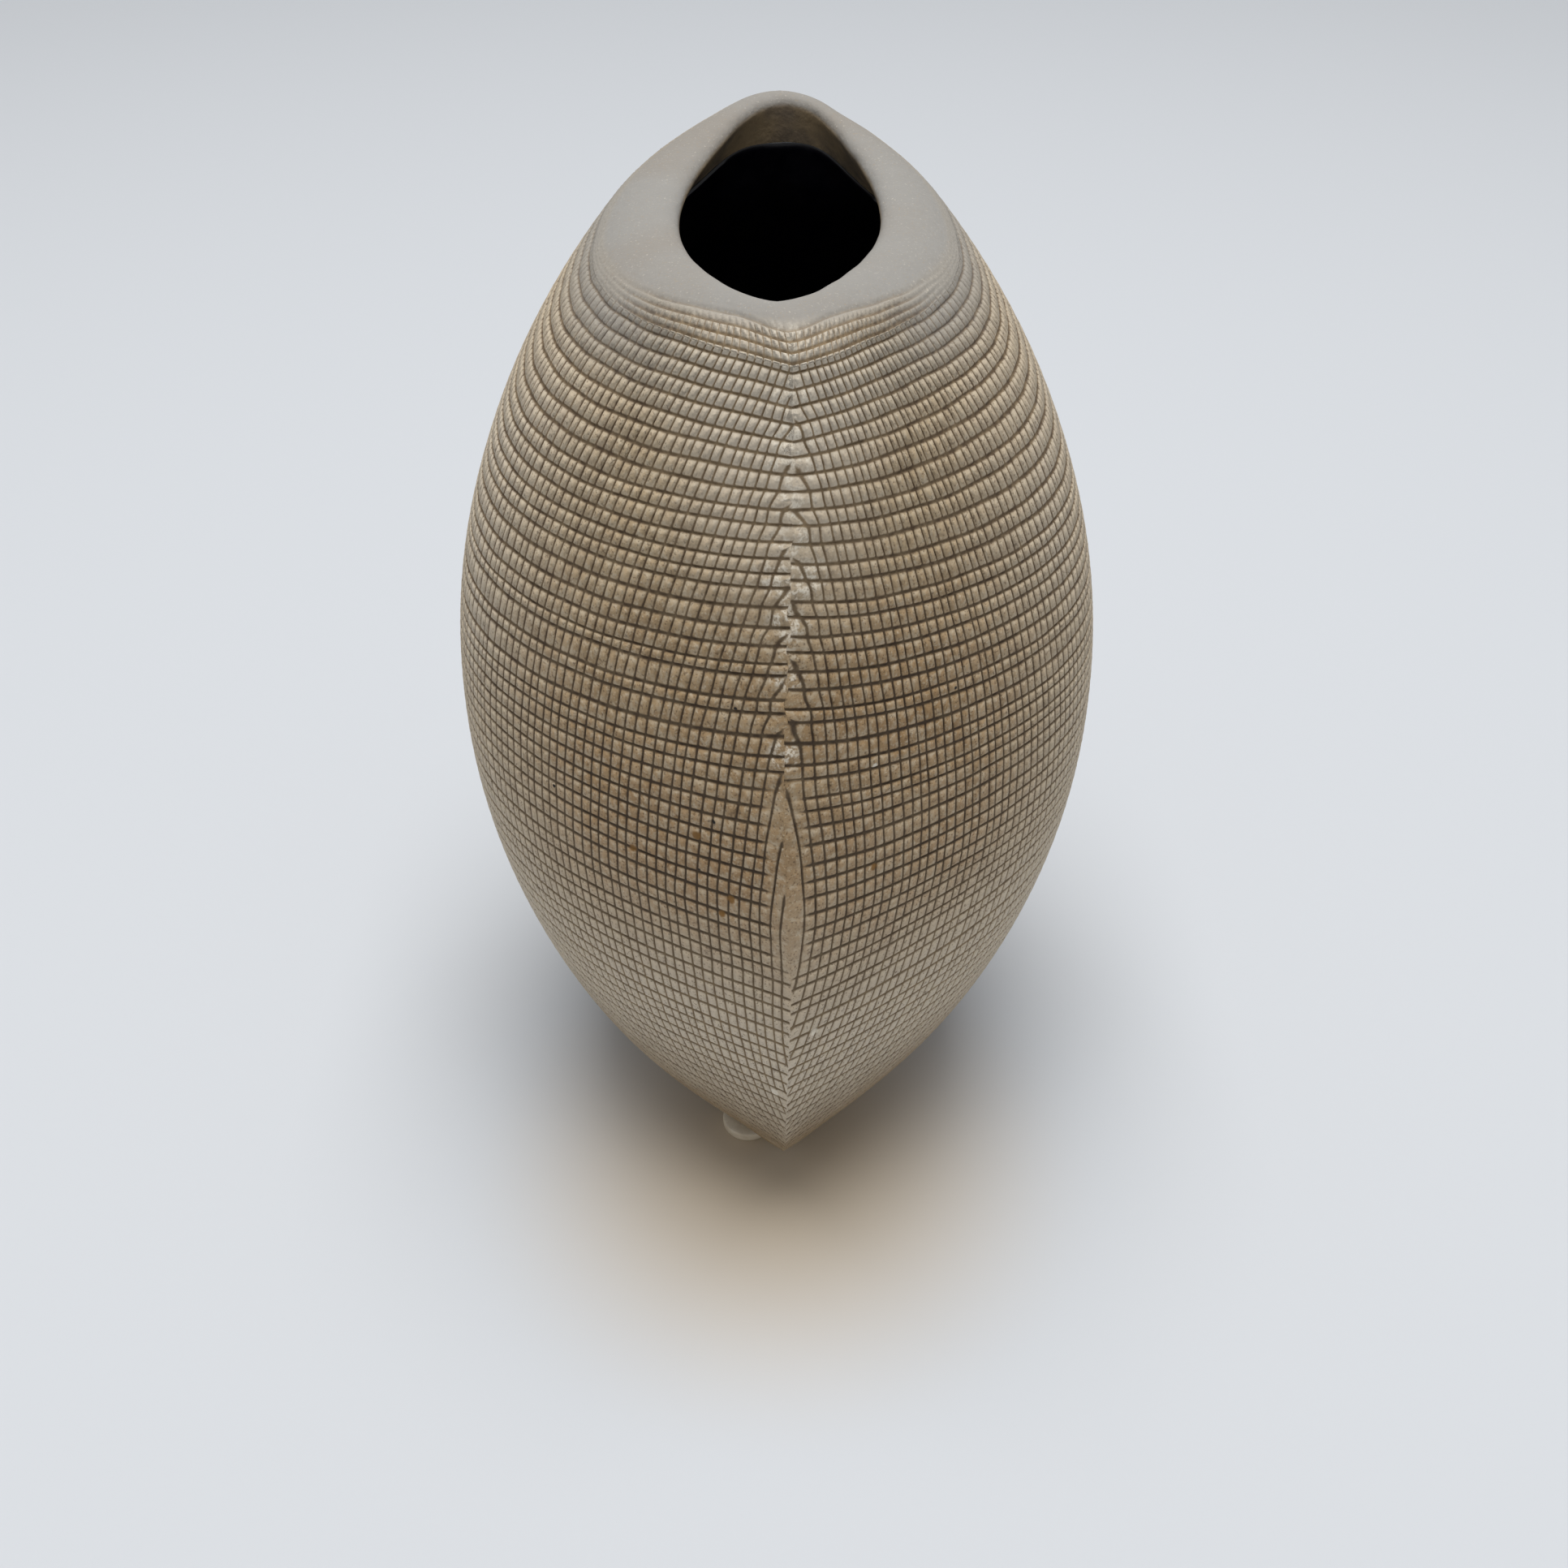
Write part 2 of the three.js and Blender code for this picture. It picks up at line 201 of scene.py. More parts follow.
# Values that each point of a mesh carries for the materials
VALUE_NAMES = ["cut", "rim", "rubbed", "shade", "lip", "throat", "row_at", "col_at"]


def colour(*parts):
    """A colour written as it shows, from 0 to 255, turned into linear light."""
    shown = np.array(parts) / 255
    linear = np.where(shown <= 0.04045, shown / 12.92, ((shown + 0.055) / 1.055) ** 2.4)
    return (*linear.tolist(), 1.0)


TAN = colour(188, 166, 133)
KHAKI = colour(162, 141, 110)
GOLDEN = colour(146, 109, 62)
GREY_TAN = colour(190, 178, 160)
TOP_CLAY = colour(156, 145, 126)
# Pale grey of the lower body; by the ridges high up it is partly wear, partly a painted highlight
PALE_GREY = colour(214, 202, 184)
LINE_BROWN = colour(80, 62, 42)
LINE_DARK = colour(34, 20, 7)
# Pale colour of specks of wear, also laid as a painted highlight on the tile rims
RUBBED_AND_RIM_HIGHLIGHT = colour(200, 186, 162)
WHITE_SLIP = colour(226, 216, 198)
LIP_GREY = colour(146, 143, 138)
LIP_WARM = colour(142, 136, 128)
THROAT_BROWN = colour(112, 100, 86)
# Painted shade that darkens the clay towards the foot
FOOT_SHADE = colour(124, 101, 68)
# Painted shade of the pinholes
PINHOLE_SHADE = colour(18, 14, 12)
OCHRE = colour(126, 92, 48)
GLAZE_BLACK = colour(3, 3, 9)
GLAZE_VIOLET = colour(8, 6, 12)
RUBBER_PALE = colour(238, 226, 204)
RUBBER_DIM = colour(222, 208, 184)

# Noise in the materials: size of its features in millimetres, and its detail
NOISE_RANGE, NOISE_ROUGHNESS = (0.3, 0.7), 0.55
BROAD, BLOTCH, FINE, GRAIN = (45, 4), (8, 4), (1.6, 4), (0.45, 2)
GLAZE_FLOW, GLAZE_SHEEN, GLAZE_WAVES = (12, 3), (3, 3), (4, 2)
RUBBER_CLOUD, RUBBER_SHEEN, RUBBER_WAVES = (2, 3), (1.2, 3), (0.8, 2)

# Where the clay's tints begin and reach their full strength, in metres: heights, or
# distances from the middle along the lens or through its thickness. The darkening towards
# the foot is painted shade, and the pale ridge tops are partly wear, partly a painted highlight.
GOLD_ALONG, GOLD_RISE, GOLD_FALL = (0.022, 0.058), (0.055, 0.105), (0.165, 0.12)
GREY_ALONG, GREY_LOW, GREY_HIGH = (0.052, 0.02), (0.075, 0.035), (0.165, 0.185)
LOW_FALL, LOW_RISE, TOP_CLAY_FROM = (0.125, 0.06), (0.015, 0.06), (0.170, 0.185)
WORN_AND_LIT_THROUGH, WORN_AND_LIT_RISE, FOOT_SHADE_FALL = (0.022, 0.004), (0.14, 0.172), (0.055, 0.012)

# Relief and gloss of the surfaces: a bump has its height in millimetres and its strength
FINE_RELIEF, GRAIN_RELIEF, TILE_SWELL, SWELL_ROW, SWELL_COLUMN = 2.0, 1.3, 2.4, 0.42, 0.45
CLAY_BUMP, GLAZE_BUMP, RUBBER_BUMP = (0.12, 0.85), (0.05, 0.5), (0.03, 0.5)
CLAY_ROUGHNESS, GLAZE_ROUGHNESS, RUBBER_ROUGHNESS = (0.72, 0.9), (0.3, 0.42), (0.28, 0.45)
CLAY_SPECULAR, GLAZE_SPECULAR, FLOOR_SPECULAR, FLOOR_ROUGHNESS = 0.35, 0.25, 0.1, 0.9
RUBBER_CLEARNESS, RUBBER_IOR = 0.1, 1.45

# Floor, light and camera, in metres
FLOOR_COLOUR = colour(207, 210, 214)
# Painted warm bounce light from the clay, laid on the floor round the near tip
FLOOR_BOUNCE = colour(207, 192, 170)
BOUNCE_MIDDLE, BOUNCE_FROM, BOUNCE_TO = (0, -0.045, 0), 0.07, 0.005
FLOOR_REACH = 4.0
FAR_FLOOR, FAR_FLOOR_FROM, FAR_FLOOR_TO = 0.75, 0.9, 3.2
SKY_TINT = (0.97, 0.985, 1.0, 1)
AMBIENT, SEEN_SKY = 0.38, 0.82
LAMP_PLACE, LAMP_SIZE, LAMP_POWER = (0.0, -0.02, 1.8), 1.15, 29
LAMP_AIM = (0, 0, 0.1)
CAMERA_PLACE = (0.0007, -0.26028, 0.28225)
CAMERA_AHEAD = Vector((0.002, 0.770, -0.638)).normalized()
CAMERA_UP = Vector((0.001, 0.638, 0.770))
CAMERA_LENS, CAMERA_SENSOR = 37.267, 36


def stand(name, data):
    """A new object of the scene."""
    thing = bpy.data.objects.new(name, data)
    bpy.context.scene.collection.objects.link(thing)
    return thing


def ease(x):
    x = np.clip(x, 0, 1)
    return x * x * (3 - 2 * x)


def fade(x, start, end):
    """0 on the near side of the start, 1 beyond the end, smooth between them."""
    return ease((x - start) / (end - start))


def half_size(law, z):
    """Half thickness or half length of the body at a height."""
    z = np.asarray(z, float)
    above = z > law["widest_at"]
    share = np.where(above, law["rim_share"], law["foot_share"])
    rise = np.where(above, law["upper_rise"], law["lower_rise"])
    fall = np.where(above, law["upper_fall"], law["lower_fall"])
    span = np.where(above, VASE_HEIGHT - law["widest_at"], law["widest_at"])
    reach = span / (1 - share ** fall) ** (1 / rise)
    way = np.abs(z - law["widest_at"]) / reach
    tuck = law["tuck"] * np.exp(-((z - TUCK_HEIGHT) / TUCK_SPREAD) ** 2)
    return law["widest"] * np.maximum(1 - way ** rise, 1e-6) ** (1 / fall) - tuck


def half_length(z):
    return half_size(LENGTH_LAW, z)


def level_wall(law, z, wall):
    slope = half_size(law, z + 0.5) - half_size(law, z - 0.5)
    return wall * np.minimum(np.hypot(1, slope), MOST_LEAN)


def end_power(z, far, along):
    """How blunt the section's ends are: the far one is rounder near the mouth."""
    rim = np.where(far, END_POWER_FAR_RIM, END_POWER_NEAR_RIM)
    power = END_POWER_FOOT + (rim - END_POWER_FOOT) * z / VASE_HEIGHT
    top = np.where(far, FAR_BLUNTNESS, 0) * fade(along, *FAR_BLUNT_ENDS)
    foot = FOOT_BLUNTNESS * fade(along, *FOOT_BLUNT_ENDS) * fade(z, *FOOT_BLUNT_HEIGHTS)
    return power - top * fade(z, *FAR_BLUNT_HEIGHTS) - foot


def outer_x(away, z, far=False):
    """Half thickness where the section is `away` from the middle along Y."""
    along = away / half_length(z)
    base = np.clip(1 - along ** PLAN_POWER, 0, 1)
    return half_size(THICKNESS_LAW, z) * base ** end_power(z, far, along)


def section(thickness, length, plan, power, side, along):
    across = np.clip(1 - np.abs(along) ** plan, 0, 1) ** power
    return side * thickness * across, length * along


def inner_point(side, along, z):
    thickness = half_size(THICKNESS_LAW, z) - level_wall(THICKNESS_LAW, z, WALL)
    length = half_length(z) - level_wall(LENGTH_LAW, z, RIDGE_WALL)
    return section(thickness, length, PLAN_POWER, INNER_END_POWER, side, along)


def wander(y, z):
    """How far the clay by the near ridge is pushed to the right."""
    from_ridge = half_length(z) + y
    near = np.interp(z, RIDGE_HEIGHTS, RIDGE_WANDER)
    slow = near * np.exp(-(np.maximum(from_ridge, 0) / WANDER_WIDTH) ** 2)
    jog = sum(np.sin(2 * math.pi * z / length) for length in JOG_LENGTHS)
    jog = jog * fade(z, *JOG_START) * fade(z, *JOG_END) * RIDGE_JOG / len(JOG_LENGTHS)
    return slow + jog * np.exp(-(np.maximum(from_ridge, 0) / JOG_WIDTH) ** 2)


def sag(side, z, from_ridge):
    """How far a level line lies above its height at the ridge."""
    drop = np.interp(z, SAG_HEIGHTS, RIDGE_DROPS)
    slope = np.interp(z, SAG_HEIGHTS, SIDE_SLOPES[side])
    body = slope * SLOPE_WIDTH * (1 - np.exp(-from_ridge / SLOPE_WIDTH))
    body = body - drop * (1 - np.exp(-from_ridge / DROP_WIDTH))
    body = body * ease((z - SLAB_TOP) / SAG_GROWTH)
    share = np.clip(1 - from_ridge / half_length(z), 0, 1)
    rim = -LIP_DIP * (1 - share ** 2)
    return body + (rim - body) * fade(z, RIM_SAG_FROM, SHOULDER)


class Waves:
    """A smooth random line for each whole index, blended in between."""

    def __init__(self, count, lengths):
        self.count = count
        self.lengths = lengths
        self.phases = random.uniform(0, 2 * math.pi, (count, len(lengths)))
        self.sizes = random.uniform(0.4, 1, (count, len(lengths))) / len(lengths)

    def line(self, index, along):
        value = 0
        for i, length in enumerate(self.lengths):
            angle = 2 * math.pi * along / length + self.phases[index, i]
            value = value + self.sizes[index, i] * np.sin(angle)
        return value

    def at(self, index, along):
        low = np.clip(np.floor(index).astype(int), 0, self.count - 2)
        part = index - low
        return (1 - part) * self.line(low, along) + part * self.line(low + 1, along)


def line_depth(index, profile):
    """Share of the depth at a place counted in pitches."""
    places, depths = profile
    return np.interp(index - np.floor(index), places + [1.0], depths + [1.0])


def between_lines(lines, profile):
    """Places of the mesh's rows, a few to each pitch, with the pitch count of each."""
    parts = np.array(profile[0])
    count = np.arange(len(lines) - 1)
    places = lines[:-1, None] + np.diff(lines)[:, None] * parts
    return places.ravel(), (count[:, None] + parts).ravel()


def narrow_rows(count):
    """Moves a few lines close to the next one, as a slipped tool does."""
    return NARROW_SHIFT * (random.uniform(0, 1, count) < NARROW_SHARE)


def level_lines():
    """Heights at the ridge of each side's level lines, from below the foot to above the
    lip. Both sides share their lines at the foot and the mouth."""
    heights = np.linspace(-LINES_BELOW_FOOT, VASE_HEIGHT + LINES_ABOVE_LIP, HEIGHT_STEPS)
    pitch = np.interp(heights, PITCH_HEIGHTS, LEVEL_PITCHES)
    count = np.concatenate([[0], np.cumsum(np.diff(heights) / pitch[:-1])])
    whole = np.arange(1, int(count[-1]))
    shared = whole + random.normal(0, PITCH_SPREAD, len(whole))
    at = np.interp(whole, count, heights)
    window = fade(at, *SHARED_AT_FOOT) * fade(at, *SHARED_AT_MOUTH)
    lines = {}
    for side in SIDES:
        own = random.normal(0, PITCH_SPREAD, len(whole)) + narrow_rows(len(whole))
        own = own + (STAGGER if side == LEFT else 0)
        lines[side] = np.interp(shared + window * own, count, heights)
    return lines


# Arc length along the widest section, from the middle out to the ridge
away_steps = np.linspace(0, LENGTH_LAW["widest"], AWAY_STEPS)
section_x = outer_x(away_steps, LENGTH_LAW["widest_at"])
arc_steps = np.concatenate([[0], np.cumsum(np.hypot(np.diff(away_steps), np.diff(section_x)))])


def away_at(arc):
    return np.sign(arc) * np.interp(np.abs(arc), arc_steps, away_steps)


def upright_lines(side):
    """Places of one side's upright lines along the widest section."""
    by_ridge, beyond = UPRIGHT_PITCHES[side]
    first = float(np.interp(FIRST_LINE[side], away_steps, arc_steps))
    whole = np.arange(-LINES_BEFORE_RIDGE, int(2 * first / beyond) + LINES_BEFORE_RIDGE + 1)
    jitter = random.normal(0, PITCH_SPREAD, len(whole)) + narrow_rows(len(whole))
    count = whole + jitter * fade(whole, *STEADY_LINES)
    extra = (by_ridge - beyond) * PITCH_CHANGE * (1 - np.exp(-np.maximum(count, 0) / PITCH_CHANGE))
    return -first + count * beyond + extra


LEVELS = level_lines()
UPRIGHTS = {side: upright_lines(side) for side in SIDES}
LEVEL_WAVES = {side: Waves(len(LEVELS[side]) + 2, LEVEL_WAVE_LENGTHS) for side in SIDES}
UPRIGHT_WAVES = {side: Waves(len(UPRIGHTS[side]) + 2, UPRIGHT_WAVE_LENGTHS) for side in SIDES}
TILE_SHADES = random.uniform(0, 1, (len(LEVELS[RIGHT]) + 4, MOST_COLUMNS, 2))


def level_rows(side, low, high):
    """Rows of the mesh between two heights of the ridge: heights and pitch counts."""
    places, index = between_lines(LEVELS[side], LEVEL_PROFILE)
    keep = (places > low + LEAST_ROW_GAP) & (places < high - LEAST_ROW_GAP)
    edge = np.interp([low, high], LEVELS[side], np.arange(len(LEVELS[side])))
    places = np.concatenate([[low], places[keep], [high]])
    index = np.concatenate([[edge[0]], index[keep], [edge[1]]])
    return places, index


def leaning(side, z):
    """How far the clay's upright lines have leant towards the middle at a height."""
    above, below = LEAN[side]
    rise = z - LEAN_MIDDLE
    high = (rise + np.hypot(rise, LEAN_BEND) - LEAN_BEND) / 2
    return above * high + below * (rise - high)


class Skin:
    """Part of the incised outside of one shell: a mesh whose rows follow the level lines
    and whose columns follow the upright ones, cut off at both ridges."""

    def __init__(self, side, rows, index, inset=None):
        self.side = side
        arcs, col_index = between_lines(UPRIGHTS[side], UPRIGHT_PROFILE)
        keep = np.abs(arcs) < arc_steps[-1] - LEAST_COLUMN_GAP
        arcs, col_index = arcs[keep], col_index[keep]
        start = away_at(arcs)
        near = start < 0
        row_z = rows[:, None]
        steady = np.abs(start)[None]
        slant = near * fade(steady, LEAN_FROM, LEAN_TO)
        swung = SWING[side] + (TOP_SWING[side] - SWING[side]) * fade(row_z, *SWING_GROWS)
        swung = swung * fade(row_z, *SWING_ENDS) * fade(steady, LEAN_FROM, SWING_TO)

        def line_away(z):
            away = steady - slant * leaning(side, z)
            inward = np.maximum(half_length(z) - away, 0)
            turned = (1 - np.exp(-inward / SWING_WIDTH)) * np.exp(-inward / SWING_REACH)
            return away - swung * turned

        inward = np.maximum(half_length(row_z) - line_away(row_z), 0)
        z = row_z + sag(side, row_z, inward)
        calm = ease((row_z - SLAB_TOP) / CALM_HEIGHT) * ease(inward / CALM_REACH)
        z = z + WOBBLE * calm * LEVEL_WAVES[side].at(index[:, None] + 0 * z, start[None] + 0 * z)
        arc_share = np.diff(away_steps) / np.diff(arc_steps)
        stretch = np.interp(np.abs(start), away_steps[1:], arc_share)
        waves = UPRIGHT_WAVES[side].at(col_index[None] + 0 * z, z)
        y = np.sign(start) * line_away(z) + WOBBLE * stretch * waves
        ridge = half_length(z)
        away = np.abs(y)
        self.inside = away < ridge - RIDGE_GAP
        away = np.minimum(away, ridge - LEAST_RIDGE_GAP)
        self.z, self.y = z, np.sign(y) * away
        self.ridge_z = row_z[:, 0]
        self.ridge_y = half_length(self.ridge_z)
        self.col_index, self.start = col_index, start

        self.level_cut = line_depth(index, LEVEL_PROFILE)[:, None] + 0 * z
        self.upright_cut = line_depth(col_index, UPRIGHT_PROFILE)[None] + 0 * z
        self.from_ridge = ridge - away
        self.shape(index, inset)

    def shape(self, index, inset):
        side, y, z = self.side, self.y, self.z
        away = np.abs(y)
        ridge = half_length(z)
        inner = np.maximum(away - SLOPE_STEP, 0)
        outer = np.minimum(away + SLOPE_STEP, ridge - TINY_RIDGE_GAP)
        far = y > 0
        rise = outer_x(outer, z, far) - outer_x(inner, z, far)
        slope_y = np.sign(y) * rise / np.maximum(outer - inner, 1e-3)
        below, above = z - SLOPE_STEP, z + SLOPE_STEP
        most_low = half_length(below) - TINY_RIDGE_GAP
        most_high = half_length(above) - TINY_RIDGE_GAP
        low = outer_x(np.minimum(away, most_low), below, far)
        high = outer_x(np.minimum(away, most_high), above, far)
        slope_z = (high - low) / (2 * SLOPE_STEP)
        normal = np.stack([side + 0 * z, -slope_y, -slope_z], -1)
        normal /= np.linalg.norm(normal, axis=-1, keepdims=True)

        from_ridge = self.from_ridge
        foot = fade(z, *FOOT_FADE)
        strip = fade(z, *STRIP_START) * fade(z, *STRIP_END)
        strip = strip * np.exp(-(from_ridge / STRIP_WIDTH) ** 4)
        level_fade = foot * (1 - STRIP_LOSS * strip) * fade(from_ridge, *LEVELS_AT_RIDGE)
        level_fade = level_fade * (WEAK_LEVELS + (1 - WEAK_LEVELS) * fade(z, *WEAK_LEVELS_UP_TO))
        upright_fade = foot * (np.abs(self.start) < FIRST_LINE[side] + PAST_FIRST_LINE)
        upright_fade = upright_fade * fade(from_ridge, *UPRIGHTS_AT_RIDGE)
        weakening = fade(z, *STRONG_UPRIGHTS_UP_TO)
        upright_fade = upright_fade * (STRONG_UPRIGHTS - (STRONG_UPRIGHTS - 1) * weakening)
        patchy = LEVEL_WAVES[side].at(index[:, None] + 0 * z, PATCH_STRETCH * y)
        streaky = UPRIGHT_WAVES[side].at(self.col_index[None] + 0 * z, STREAK_STRETCH * z)
        level = self.level_cut * level_fade
        upright = self.upright_cut * upright_fade
        depth = np.maximum(LEVEL_DEPTH * level * (1 + PATCHY_LEVELS * patchy),
                           UPRIGHT_DEPTH * upright * (1 + STREAKY_UPRIGHTS * streaky))
        points = np.stack([side * outer_x(away, z, far), y, z], -1)
        points[..., 0] += wander(y, z)
        points -= normal * depth[..., None]
        if inset is not None:
            flat = normal * np.array([1, 1, 0])
            flat /= np.linalg.norm(flat, axis=-1, keepdims=True)
            points -= flat * inset[:, None, None]
        self.points = points

        across = line_depth(index, LEVEL_PROFILE)
        bare = STRIP_LOSS * fade(self.ridge_z, *STRIP_RIDGE_START) * fade(self.ridge_z, *STRIP_END)
        notch = LEVEL_DEPTH * across * fade(self.ridge_z, *NOTCH_FADE) * (1 - bare)
        back = notch if inset is None else notch + inset
        self.ends = []
        for sign in (-1, 1):
            ridge_y = sign * (self.ridge_y - back)
            x = wander(sign * self.ridge_y, self.ridge_z)
            self.ends.append(np.stack([x, ridge_y, self.ridge_z], -1))
        self.marks(level, upright, index, bare)

    def marks(self, level, upright, index, bare):
        """Values that the clay's colours read, one for each name in VALUE_NAMES."""
        cut = np.maximum(level, upright)
        tile_row = np.floor(index).astype(int)[:, None]
        tile_col = np.floor(self.col_index).astype(int)[None]
        shade = TILE_SHADES[tile_row, tile_col % MOST_COLUMNS, 0 if self.side == RIGHT else 1]
        # Band along the tile edges, where the clay takes a painted highlight
        rim = fade(cut, *TILE_RIM) * (1 - fade(cut, *TILE_RIM_END))
        flank = np.abs(self.y) / half_length(self.z)
        smooth = smooth_share(self.z, flank)
        row_at, col_at = index[:, None] + 0 * cut, self.col_index[None] + 0 * cut
        rubbed = rubbed_share(self.z, self.from_ridge)
        self.values = np.stack([cut, rim, rubbed, shade, smooth, 0 * cut, row_at, col_at], -1)
        ridge_cut = RIDGE_CUT * line_depth(index, LEVEL_PROFILE) * (1 - bare)
        rubbed = rubbed_share(self.ridge_z, 0)
        self.end_values = []
        for step in (1, -1):
            last = self.col_index[::step][np.argmax(self.inside[:, ::step], axis=1)]
            values = row_values(index, cut=ridge_cut, rubbed=rubbed, row_at=index, col_at=last)
            self.end_values.append(values)


def smooth_share(z, flank):
    """How far the clay below the lip has taken on the lip's smoothed look."""
    return SMOOTH_MOST * fade(z, *SMOOTH_HEIGHTS) * fade(flank, *SMOOTH_FLANKS)


def rubbed_share(z, from_ridge):
    """How strongly the clay is rubbed pale at a height and a distance from the ridge."""
    most = RIDGE_RUB * np.exp(-(from_ridge / RIDGE_RUB_WIDTH) ** 2) * fade(z, *RIDGE_RUB_HEIGHTS)
    for height, half, reach in RUBBED_PATCHES:
        patch = np.exp(-((z - height) / half) ** 2 - (from_ridge / reach) ** 2)
        most = np.maximum(most, patch)
    return most


def row_values(row, **given):
    """Values of one row of points: the given ones, and plain ones for the others."""
    values = np.zeros((len(row), len(VALUE_NAMES)))
    for name, value in {"shade": 0.5, "row_at": 0.5, "col_at": 0.5, **given}.items():
        values[:, VALUE_NAMES.index(name)] = value
    return values


class Builder:
    """Collects points, triangles and the values of one mesh."""

    def __init__(self):
        self.points, self.values, self.triangles, self.count = [], [], [], 0

    def add(self, points, values=None):
        points = np.asarray(points, float).reshape(-1, 3)
        if values is None:
            values = np.zeros((len(points), len(VALUE_NAMES)))
        self.points.append(points)
        self.values.append(np.asarray(values, float).reshape(-1, len(VALUE_NAMES)))
        self.count += len(points)
        return np.arange(self.count - len(points), self.count)

    def face(self, triangles):
        if len(triangles):
            self.triangles.append(np.asarray(triangles, int).reshape(-1, 3))

    def grid(self, index):
        """Triangles between the rows and columns of a table of points. A place without a
        point holds -1."""
        corners = np.stack([index[:-1, :-1], index[:-1, 1:], index[1:, 1:], index[1:, :-1]], -1)
        full = corners[corners.min(axis=-1) >= 0]
        self.face(full[:, [0, 1, 2]])
        self.face(full[:, [0, 2, 3]])

    def ring(self, table):
        """Adds rows of points that close on themselves. Returns their numbers."""
        index = self.add(table).reshape(table.shape[:2])
        self.grid(np.concatenate([index, index[:, :1]], 1))
        return index

    def zip(self, one, two):
        """Triangles between two chains of points that run side by side."""
        points = np.concatenate(self.points)
        ways = []
        for chain in (one, two):
            step = np.linalg.norm(np.diff(points[chain], axis=0), axis=1)
            way = np.concatenate([[0], np.cumsum(step)])
            ways.append(way / max(way[-1], 1e-9))
        i = j = 0
        found = []
        while i < len(one) - 1 or j < len(two) - 1:
            go_one = j == len(two) - 1 or (i < len(one) - 1 and ways[0][i + 1] <= ways[1][j + 1])
            if go_one:
                found.append([one[i], one[i + 1], two[j]])
                i += 1
            else:
                found.append([one[i], two[j + 1], two[j]])
                j += 1
        self.face([t for t in found if len(set(t)) == 3])

    def skin(self, skin, ends=None):
        """Adds a skin. Returns its bottom chain, its top chain and its ridge chains."""
        rows, cols = skin.inside.shape
        index = np.full((rows, cols), -1)
        index[skin.inside] = self.add(skin.points[skin.inside], skin.values[skin.inside])
        if ends is None:
            ends = [self.add(e, v) for e, v in zip(skin.ends, skin.end_values)]
        self.grid(index)
        first = np.argmax(skin.inside, axis=1)
        last = cols - 1 - np.argmax(skin.inside[:, ::-1], axis=1)
        for r in range(rows - 1):
            low, high = max(first[r:r + 2]), min(last[r:r + 2])
            one, two = ([ends[0][i], *index[i, first[i]:low + 1]] for i in (r, r + 1))
            self.fan(one, two)
            one, two = ([ends[1][i], *index[i, high:last[i] + 1][::-1]] for i in (r, r + 1))
            self.fan(one, two)
        bottom, top = (np.array([ends[0][r], *index[r, first[r]:last[r] + 1], ends[1][r]])
                       for r in (0, -1))
        return bottom, top, ends

    def fan(self, one, two):
        """Triangles between a short chain from the ridge and a longer one."""
        if len(one) < len(two):
            one, two = two, one
        found = [[two[0], one[i], one[i + 1]] for i in range(len(one) - 1)]
        found.append([two[0], one[-1], two[-1]])
        self.face([t for t in found if len(set(t)) == 3])

    def make(self, name, material):
        points = np.concatenate(self.points)
        values = np.concatenate(self.values)
        triangles = np.concatenate(self.triangles)
        mesh = bpy.data.meshes.new(name)
        mesh.from_pydata((points * METRE).tolist(), [], triangles.tolist())
        for i, value_name in enumerate(VALUE_NAMES):
            attribute = mesh.attributes.new(value_name, "FLOAT", "POINT")
            attribute.data.foreach_set("value", values[:, i].astype(np.float32))
        work = bmesh.new()
        work.from_mesh(mesh)
        bmesh.ops.remove_doubles(work, verts=work.verts, dist=1e-7)
        loose = [v for v in work.verts if not v.link_faces]
        bmesh.ops.delete(work, geom=loose, context="VERTS")
        bmesh.ops.recalc_face_normals(work, faces=work.faces)
        if work.calc_volume(signed=True) < 0:
            bmesh.ops.reverse_faces(work, faces=work.faces)
        work.to_mesh(mesh)
        work.free()
        mesh.shade_smooth()
        mesh.set_sharp_from_angle(angle=math.radians(SHARP_ANGLE))
        mesh.materials.append(material)
        return stand(name, mesh)


